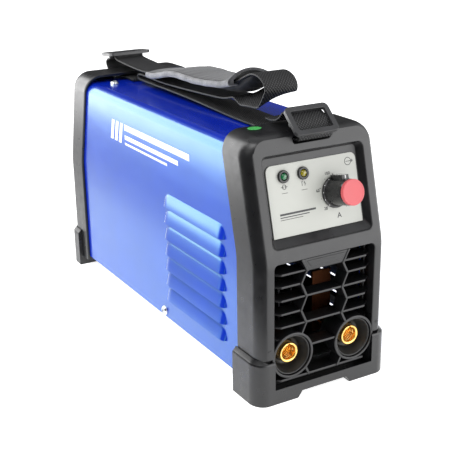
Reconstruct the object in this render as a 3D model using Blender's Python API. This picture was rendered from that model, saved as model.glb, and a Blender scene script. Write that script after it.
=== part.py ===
"""Stick welding inverter: a small portable arc welding power source with a folded carrying strap.

Frame: X across the front, front towards -Y, Z up, origin on the ground under the middle of the part.
Blender's unit is the metre; every helper below takes millimetres and scales them once. The pieces are laid
out about the middle of the case alone, and an empty moves them all by half the reach of the knob.
"""

import math

import bmesh
import bpy
from mathutils import Matrix, Vector

MM = 0.001

# ---------------------------------------------------------------- driving dimensions, in millimetres
LENGTH = 376.0            # front guard face to rear guard face
WIDTH = 125.0             # over the foot guards
GAP = 0.3                 # air between neighbouring pieces

BEZEL_HALF = 58.5         # half width of both bezels
BEZEL_TOP = 206.0
BEZEL_BOTTOM = 9.3
BEZEL_DEPTH = 34.8
BEZEL_STEP = 1.2          # the bezel face lies this far behind the guard face
BEZEL_FRONT_WALL = 8.5    # solid thickness behind the bezel face
BEZEL_WALL = 2.2
FACE_HALF = 51.5          # half width of the flat part of the bezel face
FACE_TOP = 203.5
CORNER_DEPTH = 12.0       # depth over which the face rounds into the sides
KNEE = 114.5              # height where the face starts to lean back
LEAN = 0.25               # run per rise of the leaning half
KNEE_BLEND = 5.0

COVER_HALF = 55.9
COVER_TOP = 198.0
COVER_BOTTOM = 13.0
COVER_RADIUS = 10.0
COVER_WALL = 1.2
COVER_START = 31.4        # cover's end, behind the guard face
LOUVRE_COUNT = 7
LOUVRE_PITCH = 14.4
LOUVRE_TOP = 132.0
LOUVRE_HEIGHT = 12.0
LOUVRE_RISE = 3.0
LOUVRE_FRONT = 57.0       # behind the guard face
LOUVRE_REAR = 158.0

GUARD_HALF = WIDTH / 2
GUARD_TOP = 36.2
GUARD_LEDGE = 38.8
GUARD_FRONT_DEPTH = 36.8
GUARD_REAR_DEPTH = 22.3
GUARD_FLOOR = 6.0
FOOT_INNER = 25.0

OPENING_HALF = 47.0       # lower opening in the bezel face
OPENING_BOTTOM = 12.8
OPENING_TOP = 115.3

PANEL_DEPTH = 6.3         # floor of the upper recess, behind the face
PLATE_HALF = 40.7
PLATE_BOTTOM = 131.2
PLATE_TOP = 183.5
PLATE_THICK = 1.0

KNOB_X, KNOB_Z = 17.8, 156.6
KNOB_HEIGHT = 24.3        # plate to the face of the cap
KNOB_REACH = 9.0          # the cap stands this far ahead of the guard face
LED_Z = 174.6
LED_XS = {"power": -26.4, "alarm": -8.9}

SOCKET_X, SOCKET_Z = 29.0, 37.5
COLLAR_OUTER = 18.8
COLLAR_INNER = 16.6

WEB_HALF = 15.0
WEB_THICK = 1.8

FAN_Z = 62.0
FAN_SIZE = 92.0
GRILLE_RADIUS = 45.6      # outer radius of the finger guard over the fan

FRONT = -LENGTH / 2 + BEZEL_STEP      # Y of the front bezel face below the knee

SWITCH_X, SWITCH_Z = -20.0, 160.0     # rear panel
ROCKER_REST = 9.0                     # degrees the rocker is tipped at rest
GLAND_X, GLAND_Z = 22.0, 158.0


# ---------------------------------------------------------------- materials

def material(name, colour, roughness, metallic=0.0):
    found = bpy.data.materials.get(name)
    if found:
        return found
    made = bpy.data.materials.new(name)
    made.use_nodes = True
    shader = made.node_tree.nodes["Principled BSDF"]
    shader.inputs["Base Color"].default_value = (*colour, 1.0)
    shader.inputs["Roughness"].default_value = roughness
    shader.inputs["Metallic"].default_value = metallic
    return made


def black_plastic():
    return material("black_plastic", (0.030, 0.030, 0.033), 0.45)


def blue_paint():
    return material("blue_paint", (0.010, 0.060, 0.60), 0.20)


def bare_steel():
    return material("bare_steel", (0.55, 0.55, 0.56), 0.35, 1.0)


def brass():
    return material("brass", (0.80, 0.52, 0.15), 0.25, 1.0)


def aluminium():
    return material("aluminium", (0.75, 0.76, 0.77), 0.35, 1.0)


def circuit_green():
    return material("circuit_green", (0.02, 0.18, 0.07), 0.5)


def copper():
    return material("copper", (0.72, 0.35, 0.18), 0.35, 1.0)


def ferrite():
    return material("ferrite", (0.07, 0.07, 0.075), 0.6)


def webbing():
    return material("webbing", (0.018, 0.018, 0.018), 0.9)


# ---------------------------------------------------------------- mesh helpers (millimetres in)

def lean(z):
    """Backward shift of the bezel face at height z: none below the knee, a constant slope above it."""
    if z <= KNEE - KNEE_BLEND:
        return 0.0
    if z >= KNEE + KNEE_BLEND:
        return LEAN * (z - KNEE)
    return LEAN * (z - KNEE + KNEE_BLEND) ** 2 / (4 * KNEE_BLEND)


def on_face(x, depth, z, side=1):
    """A point a given depth behind the front (side 1) or rear (side -1) bezel face."""
    return (x, side * (FRONT + depth + lean(z)), z)


def finish(mesh_tool, name, finish_material, smooth=True):
    bmesh.ops.recalc_face_normals(mesh_tool, faces=mesh_tool.faces)
    mesh = bpy.data.meshes.new(name)
    mesh_tool.to_mesh(mesh)
    mesh_tool.free()
    made = bpy.data.objects.new(name, mesh)
    bpy.context.collection.objects.link(made)
    mesh.materials.append(finish_material)
    if smooth:
        mesh.shade_smooth()
        mesh.set_sharp_from_angle(angle=math.radians(32))
    return made


def solid(name, points, faces, finish_material):
    tool = bmesh.new()
    made = [tool.verts.new(Vector(p) * MM) for p in points]
    for face in faces:
        tool.faces.new([made[i] for i in face])
    return finish(tool, name, finish_material)


def loft(name, rings, finish_material, closed=False):
    """Skin equal-length rings of points and cap the ends, or join the last ring to the first."""
    count = len(rings[0])
    points = [p for ring in rings for p in ring]
    faces = []
    pairs = len(rings) if closed else len(rings) - 1
    for k in range(pairs):
        a, b = k * count, (k + 1) % len(rings) * count
        for i in range(count):
            j = (i + 1) % count
            faces.append((a + i, a + j, b + j, b + i))
    if not closed:
        faces.append(tuple(range(count)))
        faces.append(tuple(range(len(points) - count, len(points))))
    return solid(name, points, faces, finish_material)


def ladder(name, rings, finish_material):
    """Skin rings that mirror about X = 0; the bent ends are capped with rungs from side to side."""
    count = len(rings[0])
    half = count // 2
    points = [p for ring in rings for p in ring]
    faces = []
    for k in range(len(rings) - 1):
        a, b = k * count, (k + 1) * count
        for i in range(count):
            j = (i + 1) % count
            faces.append((a + i, a + j, b + j, b + i))
    for base in (0, len(points) - count):
        for i in range(half - 1):
            faces.append((base + i, base + i + 1, base + count - 2 - i, base + count - 1 - i))
    return solid(name, points, faces, finish_material)


def box(name, low, high, finish_material):
    (x0, y0, z0), (x1, y1, z1) = low, high
    ring = [(x0, y0), (x1, y0), (x1, y1), (x0, y1)]
    return loft(name, [[(x, y, z) for x, y in ring] for z in (z0, z1)], finish_material)


def prism(name, outline, start, end, finish_material, axis="Y"):
    """Extrude an outline: (x, z) along Y, (y, z) along X, or (x, y) along Z."""
    place = {
        "Y": lambda u, v, w: (u, w, v),
        "X": lambda u, v, w: (w, u, v),
        "Z": lambda u, v, w: (u, v, w),
    }[axis]
    rings = [[place(u, v, w) for u, v in outline] for w in (start, end)]
    return loft(name, rings, finish_material)


def arc(cx, cy, rx, ry, start, end, steps):
    """Points on an ellipse arc; angles in degrees from +X towards +Y."""
    angles = [math.radians(start + (end - start) * i / steps) for i in range(steps + 1)]
    return [(cx + rx * math.cos(a), cy + ry * math.sin(a)) for a in angles]


def rounded_box_outline(u0, v0, u1, v1, radius, steps=3):
    outline = []
    corners = ((u1, v1, 0), (u0, v1, 90), (u0, v0, 180), (u1, v0, 270))
    for u, v, start in corners:
        cu = u - math.copysign(radius, u - (u0 + u1) / 2)
        cv = v - math.copysign(radius, v - (v0 + v1) / 2)
        outline += arc(cu, cv, radius, radius, start, start + 90, steps)
    return outline


def turned(name, profile, centre, direction, finish_material, steps=24, start=0.0):
    """Spin a closed (radius, height) profile around an axis that leaves centre along direction."""
    turn = Vector((0, 0, 1)).rotation_difference(Vector(direction)).to_matrix()
    hub = Vector(centre)
    rings = []
    for k in range(steps):
        a = start + 2 * math.pi * k / steps
        rings.append([hub + turn @ Vector((r * math.cos(a), r * math.sin(a), h)) for r, h in profile])
    return loft(name, rings, finish_material, closed=True)


def disc(name, radius, centre, direction, height, finish_material, steps=24, top_radius=None):
    """A cylinder or cone that stands on centre and points along direction."""
    turn = Vector((0, 0, 1)).rotation_difference(Vector(direction)).to_matrix()
    hub = Vector(centre)
    rings = []
    for r, h in ((radius, 0.0), (radius if top_radius is None else top_radius, height)):
        angles = [2 * math.pi * k / steps for k in range(steps)]
        rings.append([hub + turn @ Vector((r * math.cos(a), r * math.sin(a), h)) for a in angles])
    return loft(name, rings, finish_material)


def boolean(target, tools, operation):
    """Apply one exact Boolean for each tool, then delete the tools."""
    for tool in tools:
        step = target.modifiers.new(operation.lower(), "BOOLEAN")
        step.operation = operation
        step.solver = "EXACT"
        step.object = tool
    result = bpy.data.meshes.new_from_object(target.evaluated_get(bpy.context.evaluated_depsgraph_get()))
    target.modifiers.clear()
    old = target.data
    target.data = result
    bpy.data.meshes.remove(old)
    for tool in tools:
        bpy.data.objects.remove(tool)
    result.shade_smooth()
    result.set_sharp_from_angle(angle=math.radians(32))
    return target


def cut(target, *tools):
    return boolean(target, tools, "DIFFERENCE")


def fuse(target, *tools):
    return boolean(target, tools, "UNION")


def set_origin(target, centre):
    """Move the object's origin to a point without moving its shape."""
    place = Vector(centre) * MM
    target.data.transform(Matrix.Translation(-place))
    target.location = place
    return target


PANEL_AXIS = Vector((0, -1, LEAN)).normalized()
PLATE_FACE = PANEL_DEPTH - 0.2 - PLATE_THICK


def panel_point(x, z, height):
    """A point standing off the control plate along its normal."""
    return tuple(Vector(on_face(x, PLATE_FACE, z)) + PANEL_AXIS * height)


def panel_holes():
    """Cutters for the LED holders and the potentiometer bush, square to the leaning panel."""
    places = [(x, LED_Z, 4.0) for x in LED_XS.values()] + [(KNOB_X, KNOB_Z, 4.2)]
    return [disc("hole", radius, panel_point(x, z, -14), PANEL_AXIS, 20, black_plastic(), 20)
            for x, z, radius in places]


REAR_FLOOR = PANEL_DEPTH
REAR_AXIS = Vector((0, 1, LEAN)).normalized()


def rear_point(x, z, height):
    """A point standing off the floor of the rear recess along its normal."""
    return Vector(on_face(x, REAR_FLOOR, z, -1)) + REAR_AXIS * height


def rear_frame(x, z, height=0.0):
    """Matrix from panel space (x across, y up the panel, z outwards) to the world, in metres."""
    across = Vector((-1, 0, 0))
    up = REAR_AXIS.cross(across).normalized()
    turn = Matrix((across, up, REAR_AXIS)).transposed().to_4x4()
    return Matrix.Translation(rear_point(x, z, height) * MM) @ turn


# ---------------------------------------------------------------- bezels

def bezel_ring(depth, half, top, radius, side, bottom=BEZEL_BOTTOM):
    """One section of a bezel: square at the bottom, rounded at the top, bent at the knee."""
    heights = [bottom, KNEE - KNEE_BLEND, KNEE, KNEE + KNEE_BLEND]
    right = [(half, z) for z in heights]
    right += arc(half - radius, top - radius, radius, radius, 0, 90, 5)
    outline = right + [(-x, z) for x, z in reversed(right)]
    return [on_face(x, depth, z, side) for x, z in outline]


def bezel_body(name, side, grow=0.0, first=0.0, last=BEZEL_DEPTH, bottom=BEZEL_BOTTOM):
    """Outer form of a bezel: an elliptic roll from the flat face into the sides and the top."""
    rings = []
    depths = [d for d in (1.0, 4.0, 8.0, CORNER_DEPTH) if d > first]
    for depth in [first] + depths + [last]:
        roll = math.sqrt(1 - (1 - min(depth / CORNER_DEPTH, 1.0)) ** 2)
        half = FACE_HALF + (BEZEL_HALF - FACE_HALF) * roll + grow
        top = FACE_TOP + (BEZEL_TOP - FACE_TOP) * roll + grow
        rings.append(bezel_ring(depth, half, top, 11 + 6 * roll, side, bottom))
    return ladder(name, rings, black_plastic())


def bezel_hollow(side):
    half, top = BEZEL_HALF - BEZEL_WALL, BEZEL_TOP - 2.8
    rings = []
    for depth, shrink in ((BEZEL_FRONT_WALL, 0.3), (CORNER_DEPTH, 0.0), (BEZEL_DEPTH + 9.0, 0.0)):
        rings.append(bezel_ring(depth, half - shrink, top - shrink, 14.5, side, BEZEL_BOTTOM + 3.0))
    return ladder("hollow", rings, black_plastic())


def slanted_pocket(rim, floor, side):
    """A pocket in the leaning face; rim and floor are (half width, bottom, top, depth, radius)."""
    rings = []
    for half, low, high, depth, radius in (rim, floor):
        right = arc(half - radius, low + radius, radius, radius, -90, 0, 3)
        right += arc(half - radius, high - radius, radius, radius, 0, 90, 3)
        outline = right + [(-x, z) for x, z in reversed(right)]
        rings.append([on_face(x, depth, z, side) for x, z in outline])
    return ladder("pocket", rings, black_plastic())


def strap_slot(side):
    """The slot near the top of a bezel face that the webbing passes through."""
    low, high = 198.1, 202.9
    depth0, depth1 = -6.0, BEZEL_FRONT_WALL + 2.0
    outline = [on_face(0, depth0, low)[1:], on_face(0, depth1, low)[1:],
               on_face(0, depth1, high)[1:], on_face(0, depth0, high)[1:]]
    outline = [(side * y, z) for y, z in outline]
    return prism("slot", outline, -16.5, 16.5, black_plastic(), axis="X")


def front_bezel():
    body = bezel_body("front_bezel", 1)
    recess = slanted_pocket((46.2, 124.5, 192.6, -1.0, 4.5), (42.3, 131.0, 188.6, PANEL_DEPTH, 3.0), 1)
    opening = box("opening", (-OPENING_HALF, FRONT - 5, OPENING_BOTTOM),
                  (OPENING_HALF, FRONT + 12, OPENING_TOP), black_plastic())
    guard_seat = box("seat", (-70, FRONT - 5, 0), (70, FRONT + 2.5, GUARD_LEDGE + GAP), black_plastic())
    tools = [bezel_hollow(1), recess, opening, guard_seat, strap_slot(1)]
    return cut(body, *tools, *panel_holes())


def rear_bezel():
    body = bezel_body("rear_bezel", -1)
    rear = -FRONT
    recess = slanted_pocket((46.2, 124.5, 192.6, -1.0, 4.5), (42.3, 129.0, 188.6, PANEL_DEPTH, 3.0), -1)
    tunnel = disc("tunnel", 42.5, (0, rear - 20, FAN_Z), (0, 1, 0), 40, black_plastic(), 32)
    grille_seat = disc("grille_seat", GRILLE_RADIUS + GAP, (0, rear - 2.6, FAN_Z), (0, 1, 0), 20,
                       black_plastic(), 32)
    guard_seat = box("seat", (-70, rear - 2.5, 0), (70, rear + 5, GUARD_LEDGE + GAP), black_plastic())
    window = box("window", (-10.9, -13.5, -30.0), (10.9, 13.5, 9.0), black_plastic())
    window.data.transform(rear_frame(SWITCH_X, SWITCH_Z))
    hole = disc("hole", 8.3, rear_point(GLAND_X, GLAND_Z, -20), REAR_AXIS, 30, black_plastic(), 24)
    return cut(body, bezel_hollow(-1), recess, tunnel, grille_seat, guard_seat, strap_slot(-1), window,
               hole)


# ---------------------------------------------------------------- front grille moulding

def slat(z, left, right):
    """A fin with its front edge drawn back where it reaches the side of the opening."""
    front, back, bend, turned_back = FRONT + 1.6, FRONT + 15.0, 39.0, FRONT + 8.0
    points = []
    if left < -bend:
        points += [(left, turned_back), (-bend, front)]
    else:
        points.append((left, front))
    if right > bend:
        points += [(bend, front), (right, turned_back)]
    else:
        points.append((right, front))
    points += [(right, back), (left, back)]
    return prism("slat", points, z - 0.95, z + 0.95, black_plastic(), axis="Z")


def rib(start, end, width=1.9):
    """A straight bar in the face plane between two (x, z) points."""
    a, b = Vector(start), Vector(end)
    along = (b - a).normalized()
    across = Vector((-along.y, along.x)) * width / 2
    a, b = a - along * 0.9, b + along * 0.9
    outline = [tuple(a - across), tuple(b - across), tuple(b + across), tuple(a + across)]
    return prism("rib", outline, FRONT + 0.9, FRONT + 13.0, black_plastic())


HEX_LEVELS = [105.0, 95.0, 84.0, 73.0, 62.2, 52.0]
HEX_NARROW, HEX_WIDE = 16.5, 21.5


GRILLE_SPLIT = 49.0       # height where the grille ends and the socket surround starts


def opening_rim(name):
    """Thin frame behind the edge of the lower opening."""
    half = OPENING_HALF - 0.4
    low, high = OPENING_BOTTOM + 0.4, OPENING_TOP - 0.4
    body = box(name, (-half, FRONT + 11.0, low), (half, FRONT + 15.0, high), black_plastic())
    window = box("window", (-half + 2, FRONT, low + 2), (half - 2, FRONT + 20, high - 2), black_plastic())
    return cut(body, window)


def cut_between(body, low, high):
    return cut(body, box("rest", (-70, FRONT - 5, low), (70, FRONT + 25, high), black_plastic()))


def collar_disc(side, radius, height):
    return disc("collar", radius, (side * SOCKET_X, FRONT + 8.0 + height / 2, SOCKET_Z), (0, -1, 0), height,
                black_plastic(), 28)


def front_grille():
    half = OPENING_HALF - 0.4
    body = opening_rim("front_grille")
    parts = []
    for i, z in enumerate(HEX_LEVELS):
        edge = HEX_NARROW if i % 2 == 0 else HEX_WIDE
        if i % 2 == 0:
            parts.append(slat(z, -half, half))
        else:
            parts += [slat(z, -half, -edge + 0.5), slat(z, edge - 0.5, half)]
    for side in (-1, 1):
        knots = [(side * (HEX_NARROW if i % 2 == 0 else HEX_WIDE), z) for i, z in enumerate(HEX_LEVELS)]
        parts += [rib(a, b) for a, b in zip(knots, knots[1:])]
    top = OPENING_TOP - 0.4
    name_field = [(-HEX_NARROW + 0.5, 105.0), (HEX_NARROW - 0.5, 105.0), (21.0, top), (-21.0, top)]
    parts.append(prism("field", name_field, FRONT + 0.6, FRONT + 13.0, black_plastic()))
    fuse(body, *parts)
    cut_between(body, 0, GRILLE_SPLIT)
    return cut(body, *[collar_disc(side, COLLAR_OUTER + GAP, 25.0) for side in (-1, 1)])


def socket_surround():
    """The two rings that line the socket recesses, with the bars between and below them."""
    half = OPENING_HALF - 0.4
    body = opening_rim("socket_surround")
    cut_between(body, GRILLE_SPLIT - GAP, 130)
    bars = [slat(42.2, -13.0, 13.0), slat(17.6, -half, half)]
    bars += [rib((side * 17.0, 24.5), (side * 13.5, 17.6)) for side in (-1, 1)]
    fuse(body, *bars)
    fuse(body, *[collar_disc(side, COLLAR_OUTER, 15.0) for side in (-1, 1)])
    trim = [box("trim", (side * half, FRONT - 2, 0), (side * 70, FRONT + 20, 120), black_plastic())
            for side in (-1, 1)]
    return cut(body, *[collar_disc(side, COLLAR_INNER, 25.0) for side in (-1, 1)], *trim)


# ---------------------------------------------------------------- foot guards

def guard_plan(inset, rear_edge):
    """Plan of a guard as seen from above, its outer corners drawn as quarter ellipses."""
    half = GUARD_HALF - inset
    right = arc(51.0, 13.0, half - 51.0, 13.0 - inset, -90, 0, 6)
    right.append((half, rear_edge))
    return right + [(-x, y) for x, y in reversed(right)]


def foot_guard(name, depth, side):
    face = FRONT - BEZEL_STEP
    rings = []
    for z, inset in ((0.0, 0.9), (1.0, 0.0), (GUARD_TOP - 0.8, 0.0), (GUARD_TOP, 0.7), (GUARD_LEDGE, 3.1)):
        rings.append([(x, side * (face + y), z) for x, y in guard_plan(inset, depth)])
    body = loft(name, rings, black_plastic())
    seat = bezel_body("seat", side, GAP, 2.2, 60.0, BEZEL_BOTTOM - GAP)
    tools = [seat]
    y0, y1 = side * (face - 5), side * (face + 8)
    tools.append(box("mouth", (-OPENING_HALF, min(y0, y1), OPENING_BOTTOM),
                     (OPENING_HALF, max(y0, y1), 60), black_plastic()))
    outline = [(-FOOT_INNER, -1), (FOOT_INNER, -1), (FOOT_INNER - 4, GUARD_FLOOR),
               (-FOOT_INNER + 4, GUARD_FLOOR)]
    y0, y1 = side * (face - 5), side * (face + depth + 5)
    tools.append(prism("arch", outline, min(y0, y1), max(y0, y1), black_plastic()))
    return cut(body, *tools)


# ---------------------------------------------------------------- sheet metal

def cover_outline(half, top, radius):
    right = [(half, COVER_BOTTOM)] + arc(half - radius, top - radius, radius, radius, 0, 90, 5)
    return right + [(-x, z) for x, z in reversed(right)]


def louvre(z_top, side, outer):
    """A pressed louvre's outer form, or the space under it when outer is False."""
    wall = COVER_HALF
    lip = z_top - LOUVRE_HEIGHT
    if outer:
        section = [(wall - 0.6, z_top), (wall, z_top), (wall + LOUVRE_RISE, lip), (wall - 0.6, lip)]
        y0, y1, taper = FRONT + LOUVRE_FRONT, FRONT + LOUVRE_REAR, 5.0
    else:
        reach = LOUVRE_RISE - 1.1
        section = [(wall - 3, z_top - 3.5), (wall - 0.4, z_top - 3.5), (wall + reach, lip - 0.7),
                   (wall - 3, lip - 0.7)]
        y0, y1, taper = FRONT + LOUVRE_FRONT + 2.5, FRONT + LOUVRE_REAR - 2.5, 4.0
    stations = [(y0, True), (y0 + taper, False), (y1 - taper, False), (y1, True)]
    rings = []
    for y, pinch in stations if outer else stations[1:3]:
        ring = []
        for x, z in section:
            keep = min(x, wall + 0.05) if pinch else x
            ring.append((side * keep, y, z))
        rings.append(ring)
    return loft("louvre", rings, blue_paint())


def cover():
    start, end = -LENGTH / 2 + COVER_START, LENGTH / 2 - COVER_START
    outer = cover_outline(COVER_HALF, COVER_TOP, COVER_RADIUS)
    inner = cover_outline(COVER_HALF - COVER_WALL, COVER_TOP - COVER_WALL, COVER_RADIUS - COVER_WALL)
    body = prism("cover", outer + inner[::-1], start, end, blue_paint())
    tops = [LOUVRE_TOP - i * LOUVRE_PITCH for i in range(LOUVRE_COUNT)]
    fuse(body, *[louvre(z, side, True) for z in tops for side in (-1, 1)])
    cut(body, *[louvre(z, side, False) for z in tops for side in (-1, 1)])
    holes = [disc("hole", 2.3, centre, way, 9, blue_paint(), 12) for _, centre, way in screw_places(-4.0)]
    return cut(body, *holes)


def base_plate():
    half, floor, wall, lip = 54.3, 13.2, 1.4, 25.0
    outline = [(-half, floor), (half, floor), (half, lip), (half - wall, lip), (half - wall, floor + wall),
               (-half + wall, floor + wall), (-half + wall, lip), (-half, lip)]
    body = prism("base_plate", outline, -LENGTH / 2 + 30.5, LENGTH / 2 - 30.5, bare_steel())
    holes = [disc("hole", 2.3, (x, y, z), way, 9, bare_steel(), 12)
             for name, (x, y, z), way in screw_places(-4.0) if "side" in name]
    return cut(body, *holes)


def screw_places(offset):
    """Name, point on the cover's surface moved by offset along the axis, and axis of every cover screw."""
    places = []
    for side, word in ((-1, "left"), (1, "right")):
        places.append((f"cover_screw_top_{word}", (side * 33.0, 118.0, COVER_TOP + offset), (0, 0, 1)))
        places.append((f"cover_screw_side_{word}", (side * (COVER_HALF + offset), -22.0, 18.6), (side, 0, 0)))
    return places


def cover_screw(name, centre, way):
    """Pan head screw with a cross recess."""
    profile = [(0.01, -5.0), (1.7, -5.0), (1.7, GAP), (4.0, GAP), (4.0, 1.2), (3.4, 2.1), (2.0, 2.7),
               (0.01, 2.8)]
    return turned(name, profile, centre, way, bare_steel(), 10)


# ---------------------------------------------------------------- control panel

def control_plate():
    rings = []
    for depth in (PANEL_DEPTH - 0.2, PANEL_DEPTH - 0.2 - PLATE_THICK):
        right = [(PLATE_HALF, PLATE_BOTTOM)]
        right += arc(PLATE_HALF - 5, PLATE_TOP - 5, 5, 5, 0, 90, 4)
        outline = right + [(-x, z) for x, z in reversed(right)]
        rings.append([on_face(x, depth, z) for x, z in outline])
    body = ladder("control_plate", rings, material("silver_plate", (0.66, 0.66, 0.62), 0.4, 0.3))
    return cut(body, *panel_holes())


def current_knob():
    """Round knob with a ticked skirt, a flat-sided pointer ridge and a seat for its cap."""
    base = panel_point(KNOB_X, KNOB_Z, 0.5)
    rim = KNOB_HEIGHT - 3.9
    profile = [(3.3, 0.0), (12.2, 0.0), (12.2, 1.6), (10.4, 2.6), (10.1, 4.0), (9.9, rim),
               (7.5, rim), (7.5, rim - 1.5), (3.3, rim - 1.5)]
    body = turned("current_knob", profile, base, PANEL_AXIS,
                  material("knob_black", (0.02, 0.02, 0.022), 0.35), 28)
    ridge = box("ridge", (-2.4, 8.5, 1.0), (2.4, 12.0, rim - 1.6), black_plastic())
    turn = Vector((0, 0, 1)).rotation_difference(PANEL_AXIS).to_matrix().to_4x4()
    up = turn @ Vector((0, 1, 0))
    flip = 0.0 if up.z > 0 else math.pi
    ridge.data.transform(Matrix.Translation(Vector(base) * MM) @ turn @ Matrix.Rotation(flip, 4, "Z"))
    fuse(body, ridge)
    return set_origin(body, base)


def knob_cap():
    base = panel_point(KNOB_X, KNOB_Z, KNOB_HEIGHT - 4.6)
    profile = [(0.01, 0.0), (7.2, 0.0), (7.2, 1.5), (9.9, 1.5), (9.9, 4.0), (9.4, 4.6), (0.01, 4.6)]
    return turned("knob_cap", profile, base, PANEL_AXIS, material("cap_red", (0.85, 0.11, 0.12), 0.45), 28)


def potentiometer():
    """Can behind the panel with the shaft that the knob sits on."""
    base = panel_point(KNOB_X, KNOB_Z, -22.0)
    profile = [(0.01, 0.0), (8.0, 0.0), (8.0, 12.0), (3.6, 12.0), (3.6, 20.0), (3.0, 20.5), (3.0, 39.0),
               (0.01, 39.0)]
    return turned("potentiometer", profile, base, PANEL_AXIS, bare_steel(), 14)


def led_holder(name, x):
    base = panel_point(x, LED_Z, -4.0)
    profile = [(2.9, 0.0), (3.7, 0.0), (3.7, 4.0 + GAP), (4.9, 4.0 + GAP), (4.9, 5.2), (4.2, 6.1),
               (3.2, 6.3), (2.9, 5.8)]
    return turned(name, profile, base, PANEL_AXIS, material("holder_black", (0.03, 0.03, 0.03), 0.3), 16)


def led(name, x, colour):
    base = panel_point(x, LED_Z, -6.0)
    profile = [(0.01, 0.0), (2.6, 0.0), (2.6, 11.0), (2.3, 12.2), (1.4, 13.0), (0.01, 13.3)]
    return turned(name, profile, base, PANEL_AXIS, material(name, colour, 0.15), 14)


# ---------------------------------------------------------------- output sockets

def socket_body(name, side):
    """Insulating cup inside a collar: a cone that leads down to the ring around the contact."""
    centre = (side * SOCKET_X, FRONT + 24.0, SOCKET_Z)
    profile = [(8.7, 0.0), (COLLAR_INNER - GAP, 0.0), (COLLAR_INNER - GAP, 22.0), (COLLAR_INNER - 1.3, 22.3),
               (10.6, 10.5), (9.2, 9.5), (8.7, 9.5)]
    return turned(name, profile, centre, (0, -1, 0), material("socket_black", (0.02, 0.02, 0.02), 0.4), 24)


def socket_contact(name, side):
    """Brass tube with a bore for the plug pin, a key slot and a threaded stud behind."""
    centre = (side * SOCKET_X, FRONT + 44.0, SOCKET_Z)
    profile = [(0.01, 0.0), (5.0, 0.0), (5.0, 16.0), (12.0, 16.0), (12.0, 19.5), (8.2, 19.5), (8.2, 37.2),
               (7.5, 38.0), (6.4, 38.0), (5.8, 37.2), (5.8, 21.5), (0.01, 21.5)]
    body = turned(name, profile, centre, (0, -1, 0), brass(), 18)
    x = side * SOCKET_X
    key = box("key", (x - 1.6, FRONT, SOCKET_Z + 2), (x + 1.6, FRONT + 14, SOCKET_Z + 7.4),
              brass())
    return cut(body, key)


# ---------------------------------------------------------------- carrying strap

def front_y(y):
    """Distance behind the guard face to world Y."""
    return y - LENGTH / 2


BUCKLE_TO_BIGHT = [
    (63.0, 208.9), (57.0, 208.7), (50.0, 209.6), (44.5, 212.5), (40.0, 216.9), (35.0, 218.6), (31.5, 216.8),
    (27.6, 215.0), (24.1, 212.8), (21.6, 209.6), (19.5, 206.0), (17.6, 203.4), (18.6, 201.2), (22.5, 200.5),
    (34.0, 200.6), (58.0, 200.4), (80.0, 199.7), (115.0, 199.9), (144.0, 200.9), (190.0, 202.4),
    (240.0, 203.0), (280.0, 203.0), (289.0, 203.6), (291.6, 205.6), (289.0, 207.6), (280.0, 208.1),
    (240.0, 207.8), (198.0, 209.0), (150.0, 211.4), (128.0, 213.0), (112.0, 216.6), (98.0, 219.8),
    (86.0, 221.0), (76.0, 221.7), (68.5, 224.0), (63.8, 229.2), (66.4, 235.2), (73.8, 239.0), (84.0, 239.4),
    (95.0, 235.2),
]
PAD_RUN = [
    (107.0, 229.6), (120.0, 226.4), (133.0, 224.6), (152.0, 222.8), (171.0, 221.8), (195.0, 221.8),
    (211.0, 221.0), (228.0, 217.6), (244.0, 213.9), (258.0, 213.0),
]
PAD_TO_REAR = [
    (270.0, 212.2), (285.0, 211.9), (300.0, 212.2), (316.0, 213.0), (330.0, 213.8), (339.3, 214.7),
    (344.8, 217.5), (348.2, 218.9), (351.4, 218.3), (357.2, 213.7), (362.5, 211.8), (365.6, 209.2),
    (364.8, 205.8), (360.5, 201.8), (353.5, 200.5), (345.0, 200.5), (318.0, 200.4), (302.0, 200.0),
]
STRAP_ROUTE = BUCKLE_TO_BIGHT + PAD_RUN + PAD_TO_REAR


def smooth_route(route, parts=2):
    """Points along a Catmull-Rom curve through the route, parts of them for each of its spans."""
    points = []
    for i in range(len(route) - 1):
        p0, p1 = Vector(route[max(i - 1, 0)]), Vector(route[i])
        p2, p3 = Vector(route[i + 1]), Vector(route[min(i + 2, len(route) - 1)])
        for k in range(parts):
            t = k / parts
            points.append(0.5 * (2 * p1 + (p2 - p0) * t + (2 * p0 - 5 * p1 + 4 * p2 - p3) * t * t
                                 + (3 * p1 - p0 - 3 * p2 + p3) * t ** 3))
    return points + [Vector(route[-1])]


def edge_lift(p):
    """How far the right edge stands up and the left edge hangs down where the strap twists in its loop."""
    share = min((p.x - 64.0) / 12, (114.0 - p.x) / 16, (p.y - 211.0) / 3, (226.5 - p.y) / 4)
    share = min(max(share, 0.0), 1.0)
    return 7.5 * share * share * (3 - 2 * share)


def band(name, path, half, thick, finish_material):
    """A flat band that follows a (y, z) path and spans X from -half to half."""
    upper, lower = [], []
    for i, p in enumerate(path):
        along = (path[min(i + 1, len(path) - 1)] - path[max(i - 1, 0)]).normalized()
        normal = Vector((-along.y, along.x)) * thick / 2
        upper.append(p + normal)
        lower.append(p - normal)
    rings = []
    for p, a, b in zip(path, upper, lower):
        lift = edge_lift(p)
        rings.append([(-half, front_y(a.x), a.y - lift), (half, front_y(a.x), a.y + lift),
                      (half, front_y(b.x), b.y + lift), (-half, front_y(b.x), b.y - lift)])
    return loft(name, rings, finish_material)


def strap_webbing():
    return band("strap_webbing", smooth_route(STRAP_ROUTE), WEB_HALF, WEB_THICK, webbing())


def shoulder_pad():
    """Padded sleeve around the top run of the webbing, open at both ends."""
    path = smooth_route(PAD_RUN)
    body = band("shoulder_pad", path, 22.0, 7.0, material("pad_grey", (0.07, 0.07, 0.075), 0.85))
    ahead, behind = path[0] * 2 - path[1], path[-1] * 2 - path[-2]
    tunnel = band("tunnel", [ahead] + path + [behind], WEB_HALF + 0.9, WEB_THICK + 1.3, webbing())
    return cut(body, tunnel)


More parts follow.
